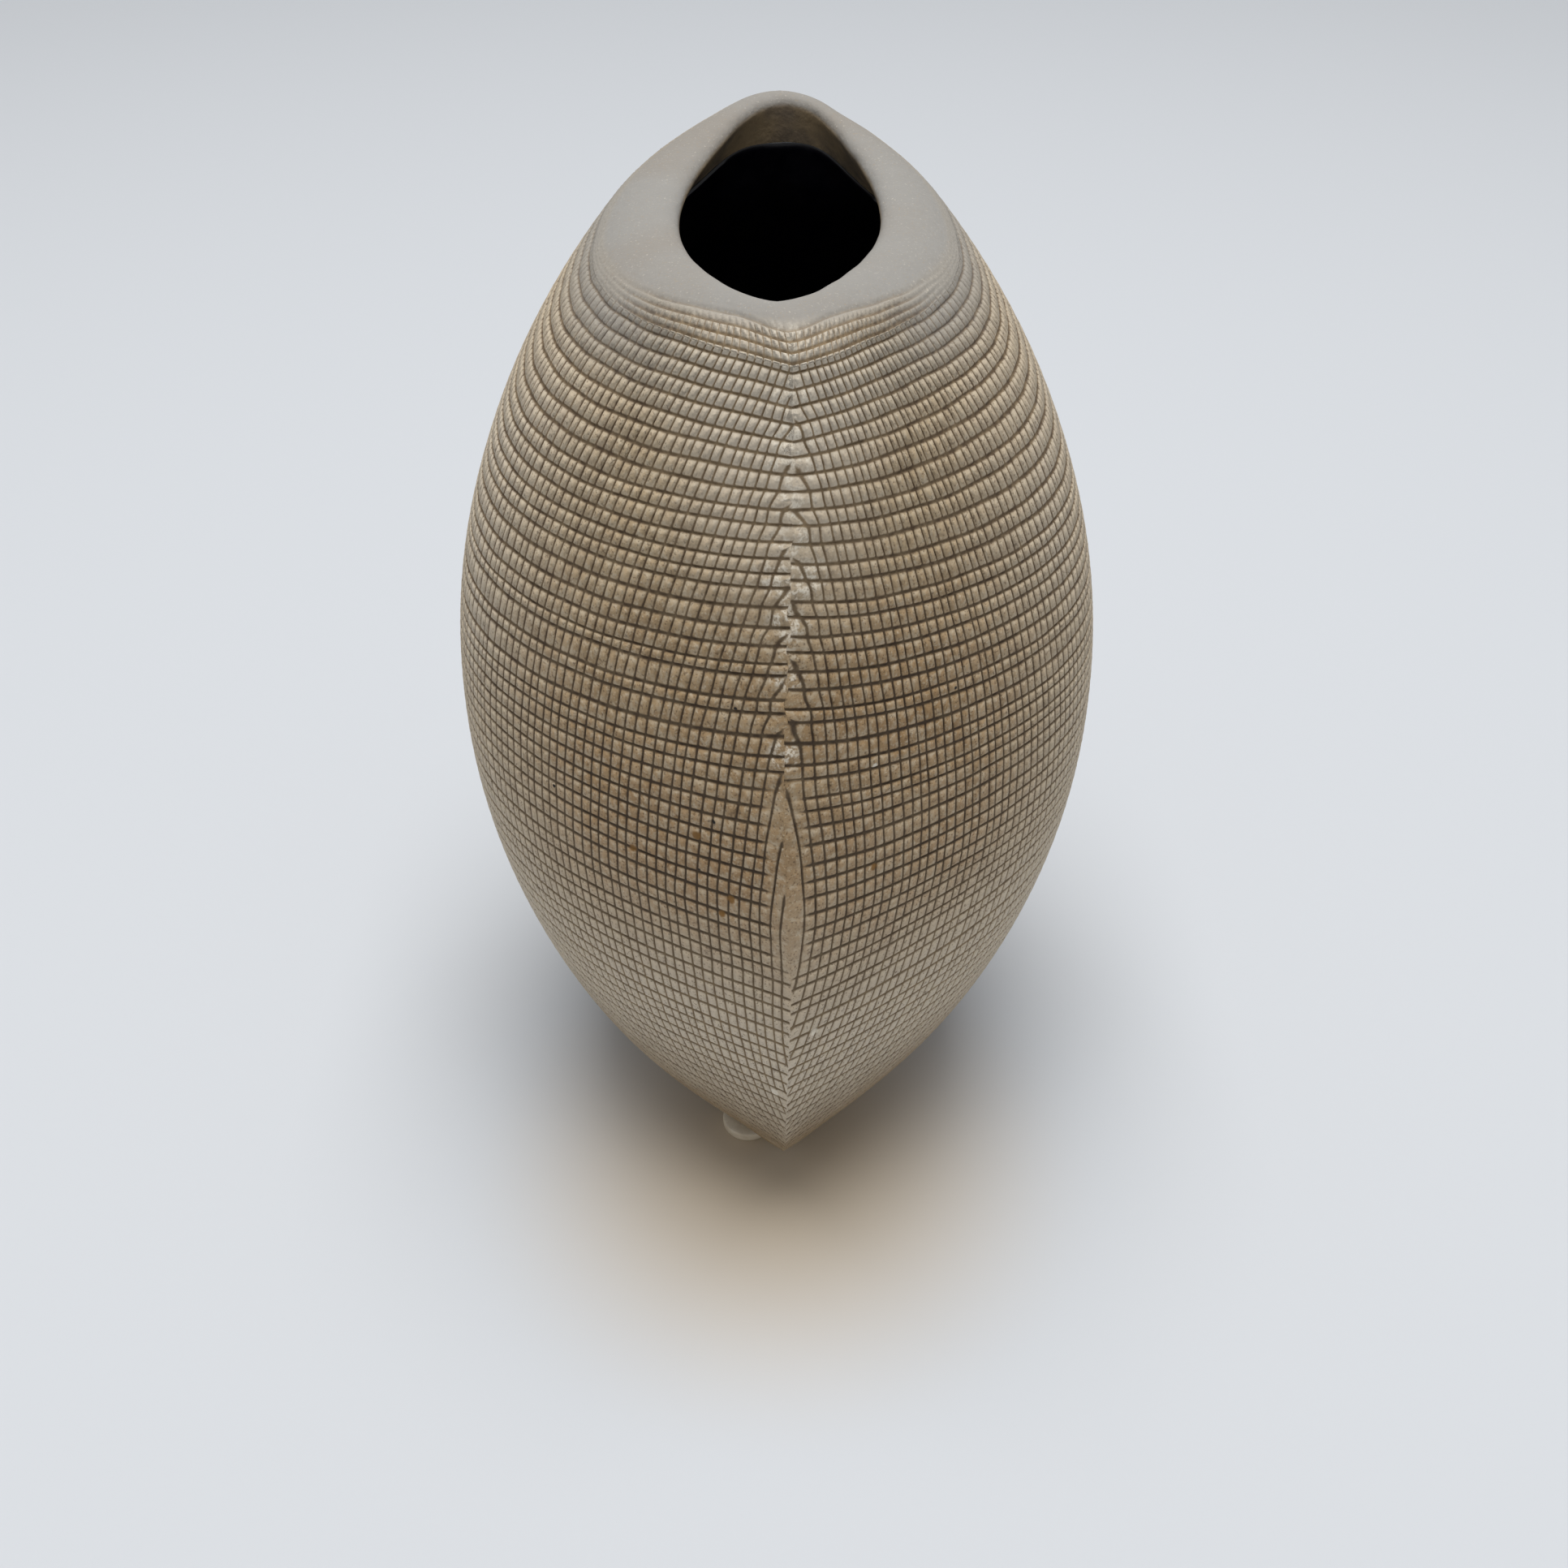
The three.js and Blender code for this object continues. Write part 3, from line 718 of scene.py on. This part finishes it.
class Tree:
    """Short ways to lay the nodes of a material."""

    def __init__(self, name):
        self.material = bpy.data.materials.new(name)
        self.material.use_nodes = True
        self.nodes = self.material.node_tree.nodes
        self.links = self.material.node_tree.links
        self.shader = self.nodes["Principled BSDF"]
        self.place = self.add("ShaderNodeTexCoord").outputs["Object"]

    def add(self, kind, **settings):
        node = self.nodes.new(kind)
        for key, value in settings.items():
            setattr(node, key, value)
        return node

    def put(self, socket, value):
        if isinstance(value, bpy.types.NodeSocket):
            self.links.new(value, socket)
        else:
            socket.default_value = value

    def value(self, name):
        return self.add("ShaderNodeAttribute", attribute_name=name).outputs["Fac"]

    def look(self, name, value):
        """Sets one of the shader's own values."""
        self.put(self.shader.inputs[name], value)

    def noise(self, size, detail):
        """Noise whose features are about `size` millimetres across."""
        node = self.add("ShaderNodeTexNoise")
        self.put(node.inputs["Vector"], self.place)
        self.put(node.inputs["Scale"], 1 / (size * METRE))
        self.put(node.inputs["Detail"], detail)
        self.put(node.inputs["Roughness"], NOISE_ROUGHNESS)
        return node.outputs["Fac"]

    def ramp(self, value, low, high, to_low=0.0, to_high=1.0):
        node = self.add("ShaderNodeMapRange", interpolation_type="SMOOTHSTEP")
        for socket, item in zip(node.inputs, (value, low, high, to_low, to_high)):
            self.put(socket, item)
        return node.outputs[0]

    def math(self, operation, one, two=0.0):
        node = self.add("ShaderNodeMath", operation=operation)
        self.put(node.inputs[0], one)
        self.put(node.inputs[1], two)
        return node.outputs[0]

    def times(self, one, two):
        return self.math("MULTIPLY", one, two)

    def mix(self, share, one, two):
        node = self.add("ShaderNodeMix", data_type="RGBA")
        self.put(node.inputs[0], share)
        self.put(node.inputs[6], one)
        self.put(node.inputs[7], two)
        return node.outputs[2]

    def coats(self, base, coats):
        """A base colour with others laid over it, each by its share."""
        for share, paint in coats:
            base = self.mix(share, base, paint)
        return base

    def bump(self, height, distance, strength):
        node = self.add("ShaderNodeBump")
        self.put(node.inputs["Height"], height)
        self.put(node.inputs["Distance"], distance * METRE)
        self.put(node.inputs["Strength"], strength)
        self.links.new(node.outputs[0], self.shader.inputs["Normal"])


def seen_share(nodes, links):
    """1 for rays from the camera, a gloss or a clear body, 0 for the light on the object."""
    rays = nodes.new("ShaderNodeLightPath").outputs
    seen = rays["Is Camera Ray"]
    for name in ("Is Glossy Ray", "Is Transmission Ray"):
        either = nodes.new("ShaderNodeMath")
        either.operation = "MAXIMUM"
        links.new(seen, either.inputs[0])
        links.new(rays[name], either.inputs[1])
        seen = either.outputs[0]
    return seen


def mark_field(tree, marks):
    """1 inside small round marks at given places, 0 outside."""
    total = None
    for side, y, z, radius in marks:
        x = float(side * outer_x(abs(y), z) + wander(y, z))
        far = tree.add("ShaderNodeVectorMath", operation="DISTANCE")
        tree.put(far.inputs[0], tree.place)
        tree.put(far.inputs[1], (x * METRE, y * METRE, z * METRE))
        one = tree.ramp(far.outputs["Value"], radius * 1.3 * METRE, radius * 0.6 * METRE)
        total = one if total is None else tree.math("MAXIMUM", total, one)
    return total


def tile_swell(tree, name, soft):
    """1 in the middle of a tile, falling to 0 at its edges."""
    part = tree.math("FRACT", tree.value(name))
    edge = tree.math("MINIMUM", part, tree.math("SUBTRACT", 1.0, part))
    return tree.ramp(edge, 0.04, soft)


def clay_material():
    t = Tree("incised_stoneware")
    split = t.add("ShaderNodeSeparateXYZ")
    t.put(split.inputs[0], t.place)
    thick, y, z = split.outputs["X"], split.outputs["Y"], split.outputs["Z"]
    cut, rim, rubbed = t.value("cut"), t.value("rim"), t.value("rubbed")
    shade, lip, throat = t.value("shade"), t.value("lip"), t.value("throat")
    broad, blotch, fine, grain = (t.noise(*kind) for kind in (BROAD, BLOTCH, FINE, GRAIN))

    shaded = t.times(t.ramp(shade, 0.0, 1.0, 0.0, 0.55), t.ramp(fine, *NOISE_RANGE, 0.5, 1))
    away_y = t.math("ABSOLUTE", y)
    gold = t.times(t.ramp(z, *GOLD_RISE), t.ramp(z, *GOLD_FALL))
    gold = t.times(t.ramp(away_y, *GOLD_ALONG), gold)
    gold = t.times(gold, t.ramp(broad, *NOISE_RANGE, 0.45, 1.0))
    grey = t.math("MAXIMUM", t.ramp(away_y, *GREY_ALONG), t.ramp(z, *GREY_LOW))
    grey = t.math("MAXIMUM", grey, t.ramp(z, *GREY_HIGH))
    low = t.times(t.ramp(z, *LOW_FALL), t.ramp(z, *LOW_RISE))
    low = t.times(low, t.math("SUBTRACT", 0.75, t.times(gold, 0.6)))
    # Painted highlight along the tile rims, broken up by noise
    rim_highlight = t.times(rim, t.ramp(fine, 0.42, 0.62))
    # Paler clay by the ridges high up: partly wear, partly a painted highlight where they face up
    pale = t.times(t.ramp(t.math("ABSOLUTE", thick), *WORN_AND_LIT_THROUGH), t.ramp(z, *WORN_AND_LIT_RISE))
    scratched = t.times(t.ramp(fine, 0.4, 0.58), t.ramp(grain, 0.38, 0.56, 0.15, 1))
    scuffs = t.times(t.ramp(rubbed, 0.14, 0.6), scratched)
    # Painted shade, darker towards the foot, in blotches
    foot_shade = t.times(t.ramp(z, *FOOT_SHADE_FALL), t.ramp(blotch, 0.3, 0.6, 0.75, 1.0))

    tile = t.coats(t.mix(t.ramp(blotch, 0.35, 0.66), TAN, KHAKI), [
        (shaded, KHAKI),
        (t.times(gold, 0.8), GOLDEN),
        (t.times(grey, t.ramp(broad, *NOISE_RANGE, 0.5, 0.9)), GREY_TAN),
        (low, PALE_GREY),
        (t.ramp(z, *TOP_CLAY_FROM, 0.0, 0.8), TOP_CLAY),
        # Painted highlight on the tile rims, then pale specks of wear
        (t.times(rim_highlight, 0.65), RUBBED_AND_RIM_HIGHLIGHT),
        (t.ramp(grain, 0.58, 0.7, 0.0, 0.6), RUBBED_AND_RIM_HIGHLIGHT),
        (t.ramp(grain, 0.42, 0.32, 0.0, 0.6), LINE_BROWN),
        (t.ramp(fine, 0.36, 0.26, 0.0, 0.45), LINE_BROWN),
        # Partly wear, partly a painted highlight by the ridges high up
        (t.times(pale, 0.6), PALE_GREY),
        (t.times(scuffs, 0.95), WHITE_SLIP),
        # Painted shade towards the foot
        (foot_shade, FOOT_SHADE),
    ])
    line = t.coats(t.mix(t.ramp(fine, *NOISE_RANGE, 0.0, 0.5), LINE_BROWN, KHAKI), [
        (t.times(gold, 0.9), LINE_DARK),
        # The same partly painted highlight makes the lines paler by the ridges high up
        (t.times(pale, 0.35), KHAKI),
        (t.times(low, 0.5), KHAKI),
        # The painted shade towards the foot also darkens the lines
        (t.times(foot_shade, 0.35), LINE_DARK),
    ])
    smooth = t.coats(t.mix(t.ramp(broad, 0.35, 0.65), LIP_GREY, LIP_WARM), [
        (t.ramp(grain, 0.62, 0.75, 0.0, 0.3), WHITE_SLIP),
        (t.ramp(grain, 0.38, 0.28, 0.0, 0.4), KHAKI),
    ])
    inked = t.ramp(cut, t.ramp(fine, *NOISE_RANGE, 0.1, 0.34), 0.8)
    base = t.coats(t.mix(inked, tile, line), [
        (mark_field(t, OCHRE_SPOTS), OCHRE),
        (mark_field(t, SLIP_BLOBS), WHITE_SLIP),
        # Painted shade in the pinholes
        (mark_field(t, PINHOLES), PINHOLE_SHADE),
        (t.times(lip, t.ramp(cut, 0.3, 0.9, 1.0, 0.45)), smooth),
        (throat, t.mix(t.ramp(blotch, *NOISE_RANGE), THROAT_BROWN, KHAKI)),
    ])
    t.look("Base Color", base)
    t.look("Roughness", t.ramp(fine, 0.2, 0.8, *CLAY_ROUGHNESS))
    t.look("Specular IOR Level", CLAY_SPECULAR)

    tooth = t.times(grain, t.ramp(lip, 0.0, 1.0, 1.0, 0.35))
    relief = t.math("ADD", t.times(fine, FINE_RELIEF), t.times(tooth, GRAIN_RELIEF))
    swell = t.times(tile_swell(t, "row_at", SWELL_ROW), tile_swell(t, "col_at", SWELL_COLUMN))
    swell = t.times(swell, t.ramp(lip, 0.0, 1.0, 1.0, 0.0))
    relief = t.math("ADD", relief, t.times(swell, TILE_SWELL))
    t.bump(relief, *CLAY_BUMP)
    return t.material


def glaze_material():
    t = Tree("near_black_glaze")
    flow = t.noise(*GLAZE_FLOW)
    t.look("Base Color", t.mix(t.ramp(flow, *NOISE_RANGE), GLAZE_BLACK, GLAZE_VIOLET))
    t.look("Roughness", t.ramp(t.noise(*GLAZE_SHEEN), *NOISE_RANGE, *GLAZE_ROUGHNESS))
    t.look("Specular IOR Level", GLAZE_SPECULAR)
    t.bump(t.noise(*GLAZE_WAVES), *GLAZE_BUMP)
    return t.material


def bumper_material():
    t = Tree("milky_clear_rubber")
    cloud = t.noise(*RUBBER_CLOUD)
    t.look("Base Color", t.mix(t.ramp(cloud, *NOISE_RANGE), RUBBER_PALE, RUBBER_DIM))
    t.look("Roughness", t.ramp(t.noise(*RUBBER_SHEEN), *NOISE_RANGE, *RUBBER_ROUGHNESS))
    t.look("Transmission Weight", RUBBER_CLEARNESS)
    t.look("IOR", RUBBER_IOR)
    t.bump(t.noise(*RUBBER_WAVES), *RUBBER_BUMP)
    return t.material


CLAY = clay_material()
GLAZE = glaze_material()
RUBBER = bumper_material()


def make_shell(side, name):
    build = Builder()
    rows, index = level_rows(side, SLAB_TOP, COLLAR_BOTTOM)
    skin = Skin(side, rows, index)
    bottom, top, ends = build.skin(skin)
    along = -np.cos(np.linspace(0, math.pi, WALL_COLUMNS))
    z = np.linspace(SLAB_TOP, COLLAR_BOTTOM, WALL_ROWS)[:, None] + 0 * along
    x, y = inner_point(side, along[None], z)
    wall = build.add(np.stack([x, y, z], -1)).reshape(z.shape)
    build.grid(wall)
    chains = [bottom, top, ends[0], ends[1]]
    for chain, border in zip(chains, [wall[0], wall[-1], wall[:, 0], wall[:, -1]]):
        build.zip(chain, border)
    return build.make(name, CLAY)


def make_slab(name):
    build = Builder()
    rows, index = level_rows(RIGHT, SLAB_BOTTOM + SLAB_EDGE, SLAB_TOP)
    turn = np.linspace(0, math.pi / 2, SLAB_EDGE_ROWS + 1)[:-1]
    edge_z = SLAB_BOTTOM + SLAB_EDGE * (1 - np.cos(turn))
    edge_inset = SLAB_EDGE * (1 - np.sin(turn))
    inset = np.concatenate([edge_inset, np.zeros(len(rows))])
    edge_index = np.full(len(edge_z), index[0])
    rows, index = np.concatenate([edge_z, rows]), np.concatenate([edge_index, index])
    bottom_r, top_r, ends = build.skin(Skin(RIGHT, rows, index, inset))
    bottom_l, top_l, ends = build.skin(Skin(LEFT, rows, index, inset), ends)
    build.zip(bottom_r, bottom_l)
    build.zip(top_r, top_l)
    return build.make(name, CLAY)


def mouth_point(side, along, shoulder):
    power = np.where(along < 0, MOUTH_NEAR_POWER, MOUTH_FAR_POWER)
    power = power - MOUTH_BLUNTNESS * fade(np.abs(along), *MOUTH_BLUNT_ENDS)
    x, y = section(MOUTH_HALF_WIDTH, MOUTH_HALF_LENGTH, MOUTH_PLAN_POWER, power, side, along)
    x = x + MOUTH_SHIFT[0] + MOUTH_SKEW * y
    return np.stack([x, y + MOUTH_SHIFT[1], shoulder + MOUTH_DROP + 0 * x], -1)


def throat_point(side, along, shoulder, share):
    """A point of the throat, from the mouth at share 0 to the joint at share 1."""
    top = mouth_point(side, along, shoulder)
    low_x, low_y = inner_point(side, along, COLLAR_BOTTOM)
    bottom = np.stack([low_x, low_y, COLLAR_BOTTOM + 0 * low_x], -1)
    bend_x, bend_y = section(THROAT_HALF_WIDTH, THROAT_HALF_LENGTH, THROAT_PLAN_POWER,
                             THROAT_END_POWER, side, along)
    middle_z = (top[..., 2] + bottom[..., 2]) / 2
    bend = np.stack([bend_x + MOUTH_SHIFT[0], bend_y + MOUTH_SHIFT[1], middle_z], -1)
    share = np.asarray(share)[..., None]
    return (1 - share) ** 2 * top + 2 * (1 - share) * share * bend + share ** 2 * bottom


def collar_side(build, side, ends):
    """One half of the collar: its incised outside, the lip and the throat."""
    rows, index = level_rows(RIGHT, COLLAR_BOTTOM, SHOULDER)
    skin = Skin(side, rows, index)
    bottom, top, ends = build.skin(skin, ends)
    inside = skin.inside[-1]
    ridge = half_length(SHOULDER)
    y = np.concatenate([[-ridge], skin.y[-1][inside], [ridge]])
    z = np.concatenate([[SHOULDER], skin.z[-1][inside], [SHOULDER]])
    along = y / half_length(z)
    rubbed = rubbed_share(z, half_length(z) - np.abs(y))

    def outside(height):
        length = half_length(height)
        x = side * outer_x(np.abs(along) * length, height, along > 0)
        return np.stack([x + wander(along * length, height), along * length, height], -1)

    edge = outside(z)
    over_edge = edge + (edge - outside(z - 1)) * LIP_RISE
    mouth = mouth_point(side, along, z)
    over_mouth = mouth + np.array([0, 0, LIP_CROWN])
    cut_top = np.concatenate([[0], skin.upright_cut[-1][inside], [0]])
    table = [top]
    flank = np.abs(along) ** FLANK_POWER
    seen_lines = fade(flank, *LIP_LINES_SEEN)
    spread = LEAST_SPREAD + (1 - LEAST_SPREAD) * flank
    spread = spread - SPREAD_LOSS * fade(flank, *SPREAD_LOSS_ENDS)
    columns = skin.col_index[inside]
    columns = np.concatenate([columns[:1], columns, columns[-1:]])
    for t in LIP_ROWS:
        point = (1 - t) ** 3 * edge + 3 * (1 - t) ** 2 * t * over_edge
        point = point + 3 * (1 - t) * t * t * over_mouth + t ** 3 * mouth
        groove = 0
        for place in LIP_LINES:
            strength = LIP_LINE_STRENGTH - LIP_LINE_WEAKENING * place
            one = np.exp(-((t - place * spread) / LIP_LINE_WIDTH) ** 2) * strength
            groove = np.maximum(groove, one)
        ticks = cut_top * ease((TICKS_TO * flank - t) / TICK_FADE)
        cut = np.maximum(groove * seen_lines, TICK_SHARE * ticks)
        point[:, 2] -= LIP_LINE_DEPTH * cut
        lip = ease((t - LIP_LOOK_ENDS * flank - LIP_LOOK_FROM) / LIP_LOOK_FADE)
        lip = np.maximum(lip, smooth_share(z, np.abs(along)))
        throat = float(fade(t, *THROAT_LOOK))
        counts = np.arange(1, len(LIP_LINES) + 1)
        places = [0, *LIP_LINES, LAST_LIP_ROW]
        row_at = np.interp(t / spread, places, [0.5, *counts, counts[-1] + 0.5])
        values = row_values(along, cut=cut, rubbed=rubbed, lip=lip, throat=throat,
                            row_at=row_at, col_at=columns)
        table.append(build.add(point, values))
    for share in np.linspace(0, 1, THROAT_ROWS)[1:]:
        point = throat_point(side, along, z, share + 0 * along)
        table.append(build.add(point, row_values(along, lip=1, throat=1)))
    build.grid(np.array(table))
    build.zip(bottom, table[-1])
    return ends


def make_collar(name):
    build = Builder()
    ends = collar_side(build, RIGHT, None)
    collar_side(build, LEFT, ends)
    return build.make(name, CLAY)


clay_pieces = [
    (make_shell(RIGHT, "right_shell_incised"), "right_shell", "incised_clay"),
    (make_shell(LEFT, "left_shell_incised"), "left_shell", "incised_clay"),
    (make_slab("base_slab_incised"), "base_slab", "incised_clay"),
    (make_collar("mouth_collar_smoothed"), "mouth_collar", "lip_clay"),
]


def surface_normals(points):
    """Unit normals of a closed ring of columns, with rows from the bottom up."""
    across = np.roll(points, -1, 1) - np.roll(points, 1, 1)
    upward = np.gradient(points, axis=0)
    normal = np.cross(across, upward)
    return normal / np.maximum(np.linalg.norm(normal, axis=-1, keepdims=True), 1e-9)


def make_glaze(name):
    """A thin coat over the floor, the walls and the lower throat, with a wavy top edge."""
    turn = np.linspace(0, 2 * math.pi, GLAZE_COLUMNS + 1)[:-1]
    along = -np.cos(turn)
    side = np.where(turn < math.pi, 1, -1)
    waves = Waves(2, GLAZE_WAVE_LENGTHS)
    shoulder = SHOULDER - LIP_DIP * np.sin(turn) ** 2
    at_ends = fade(np.abs(along), *GLAZE_ENDS)
    top_z = GLAZE_TOP_SIDES + (GLAZE_TOP_ENDS - GLAZE_TOP_SIDES) * at_ends
    top_z = top_z + GLAZE_WAVE * waves.line(0, along * GLAZE_WAVE_WAY + GLAZE_WAVES_APART * side)
    top_share = (shoulder + MOUTH_DROP - top_z) / (shoulder + MOUTH_DROP - COLLAR_BOTTOM)
    rows = []
    floor = SLAB_TOP + 0 * along
    for share in np.linspace(0, 1, GLAZE_FLOOR_ROWS + 1)[:-1]:
        x, y = inner_point(side, along, floor)
        rows.append(np.stack([x * share, y, floor], -1))
    for share in np.linspace(0, 1, GLAZE_WALL_ROWS):
        z = floor + (COLLAR_BOTTOM - floor) * share
        x, y = inner_point(side, along, z)
        rows.append(np.stack([x, y, z], -1))
    for share in np.linspace(0, 1, GLAZE_TOP_ROWS + 1)[1:]:
        way = 1 + (top_share - 1) * share
        rows.append(throat_point(side, along, shoulder, way))
    clay = np.array(rows)
    inward = surface_normals(clay)
    centre = np.array([0, 0, VASE_HEIGHT / 2])
    flip = np.sum(inward * (centre - clay), -1, keepdims=True) < 0
    inward = np.where(flip, -inward, inward)
    inward[:GLAZE_FLOOR_ROWS] = (0, 0, 1)
    outer, inner = clay + inward * GLAZE_GAP, clay + inward * (GLAZE_GAP + GLAZE_DEPTH)
    build = Builder()
    middle = (outer[-1] + inner[-1]) / 2 + np.array([0, 0, GLAZE_EDGE])
    build.ring(np.concatenate([outer, middle[None], inner[::-1]]))
    return build.make(name, GLAZE)


def make_bumper(name, place):
    """A round pad with a soft lower edge and a slightly bulging side."""
    turn = np.linspace(0, 2 * math.pi, BUMPER_COLUMNS + 1)[:-1]
    bend = np.linspace(0, math.pi / 2, BUMPER_EDGE_ROWS)
    edge = np.stack([np.sin(bend) - 1, 1 - np.cos(bend)], 1) * BUMPER_ROUND + [BUMPER_RADIUS, 0]
    radius, height = np.concatenate([BUMPER_FACE, edge, BUMPER_TOP]).T
    x = place[0] + radius[:, None] * np.cos(turn)
    y = place[1] + radius[:, None] * np.sin(turn)
    build = Builder()
    index = build.ring(np.stack([x, y, height[:, None] + 0 * x], -1))
    for row in (index[0], index[-1]):
        build.face([[row[0], row[i], row[i + 1]] for i in range(1, len(row) - 1)])
    return build.make(name, RUBBER)


pieces = clay_pieces + [(make_glaze("inner_glaze_coat"), "inner_glaze", "inner_glaze")]
for where, place in BUMPER_PLACES.items():
    pad = make_bumper("bumper_" + where + "_pad", place)
    pieces.append((pad, "bumper_" + where, "bumper_rubber"))
for piece, node, slot in pieces:
    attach(piece, "root")
    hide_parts(node)

# Floor, with painted warm bounce light from the clay beside the near tip, and a far part that
# stays pale
ground = Tree("pale_floor")
apart = ground.add("ShaderNodeVectorMath", operation="DISTANCE")
ground.put(apart.inputs[0], ground.place)
ground.put(apart.inputs[1], BOUNCE_MIDDLE)
beside = ground.ramp(apart.outputs["Value"], BOUNCE_FROM, BOUNCE_TO)
ground.look("Base Color", ground.mix(beside, FLOOR_COLOUR, FLOOR_BOUNCE))
distance = ground.add("ShaderNodeVectorMath", operation="LENGTH")
ground.put(distance.inputs[0], ground.place)
seen = seen_share(ground.nodes, ground.links)
beyond = ground.ramp(distance.outputs["Value"], FAR_FLOOR_FROM, FAR_FLOOR_TO, 0.0, FAR_FLOOR)
ground.look("Emission Color", FLOOR_COLOUR)
ground.look("Emission Strength", ground.times(beyond, seen))
ground.look("Roughness", FLOOR_ROUGHNESS)
ground.look("Specular IOR Level", FLOOR_SPECULAR)
floor_mesh = bpy.data.meshes.new("floor")
signs = [(-1, -1), (1, -1), (1, 1), (-1, 1)]
corners = [(x * FLOOR_REACH, y * FLOOR_REACH, 0) for x, y in signs]
floor_mesh.from_pydata(corners, [], [(0, 1, 2, 3)])
floor_mesh.materials.append(ground.material)
stand("floor", floor_mesh)

# Light
world = bpy.data.worlds.new("pale_room")
bpy.context.scene.world = world
world.use_nodes = True
nodes, links = world.node_tree.nodes, world.node_tree.links
background = nodes["Background"]
background.inputs["Color"].default_value = SKY_TINT
strength = nodes.new("ShaderNodeMapRange")
links.new(seen_share(nodes, links), strength.inputs["Value"])
strength.inputs["To Min"].default_value = AMBIENT
strength.inputs["To Max"].default_value = SEEN_SKY
links.new(strength.outputs[0], background.inputs["Strength"])

lamp_data = bpy.data.lights.new("soft_box", "AREA")
lamp_data.shape = "SQUARE"
lamp_data.size = LAMP_SIZE
lamp_data.energy = LAMP_POWER
lamp = stand("soft_box", lamp_data)
lamp.location = LAMP_PLACE
lamp_way = Vector(LAMP_AIM) - Vector(LAMP_PLACE)
lamp.rotation_euler = lamp_way.to_track_quat("-Z", "Y").to_euler()

# Camera
camera_data = bpy.data.cameras.new("camera")
camera_data.lens = CAMERA_LENS
camera_data.sensor_width = CAMERA_SENSOR
camera = stand("camera", camera_data)
sideways = CAMERA_AHEAD.cross(CAMERA_UP).normalized()
upright = sideways.cross(CAMERA_AHEAD)
turned = Matrix((sideways, upright, -CAMERA_AHEAD)).transposed().to_4x4()
camera.matrix_world = Matrix.Translation(CAMERA_PLACE) @ turned
bpy.context.scene.camera = camera
bpy.context.scene.view_settings.view_transform = "Standard"
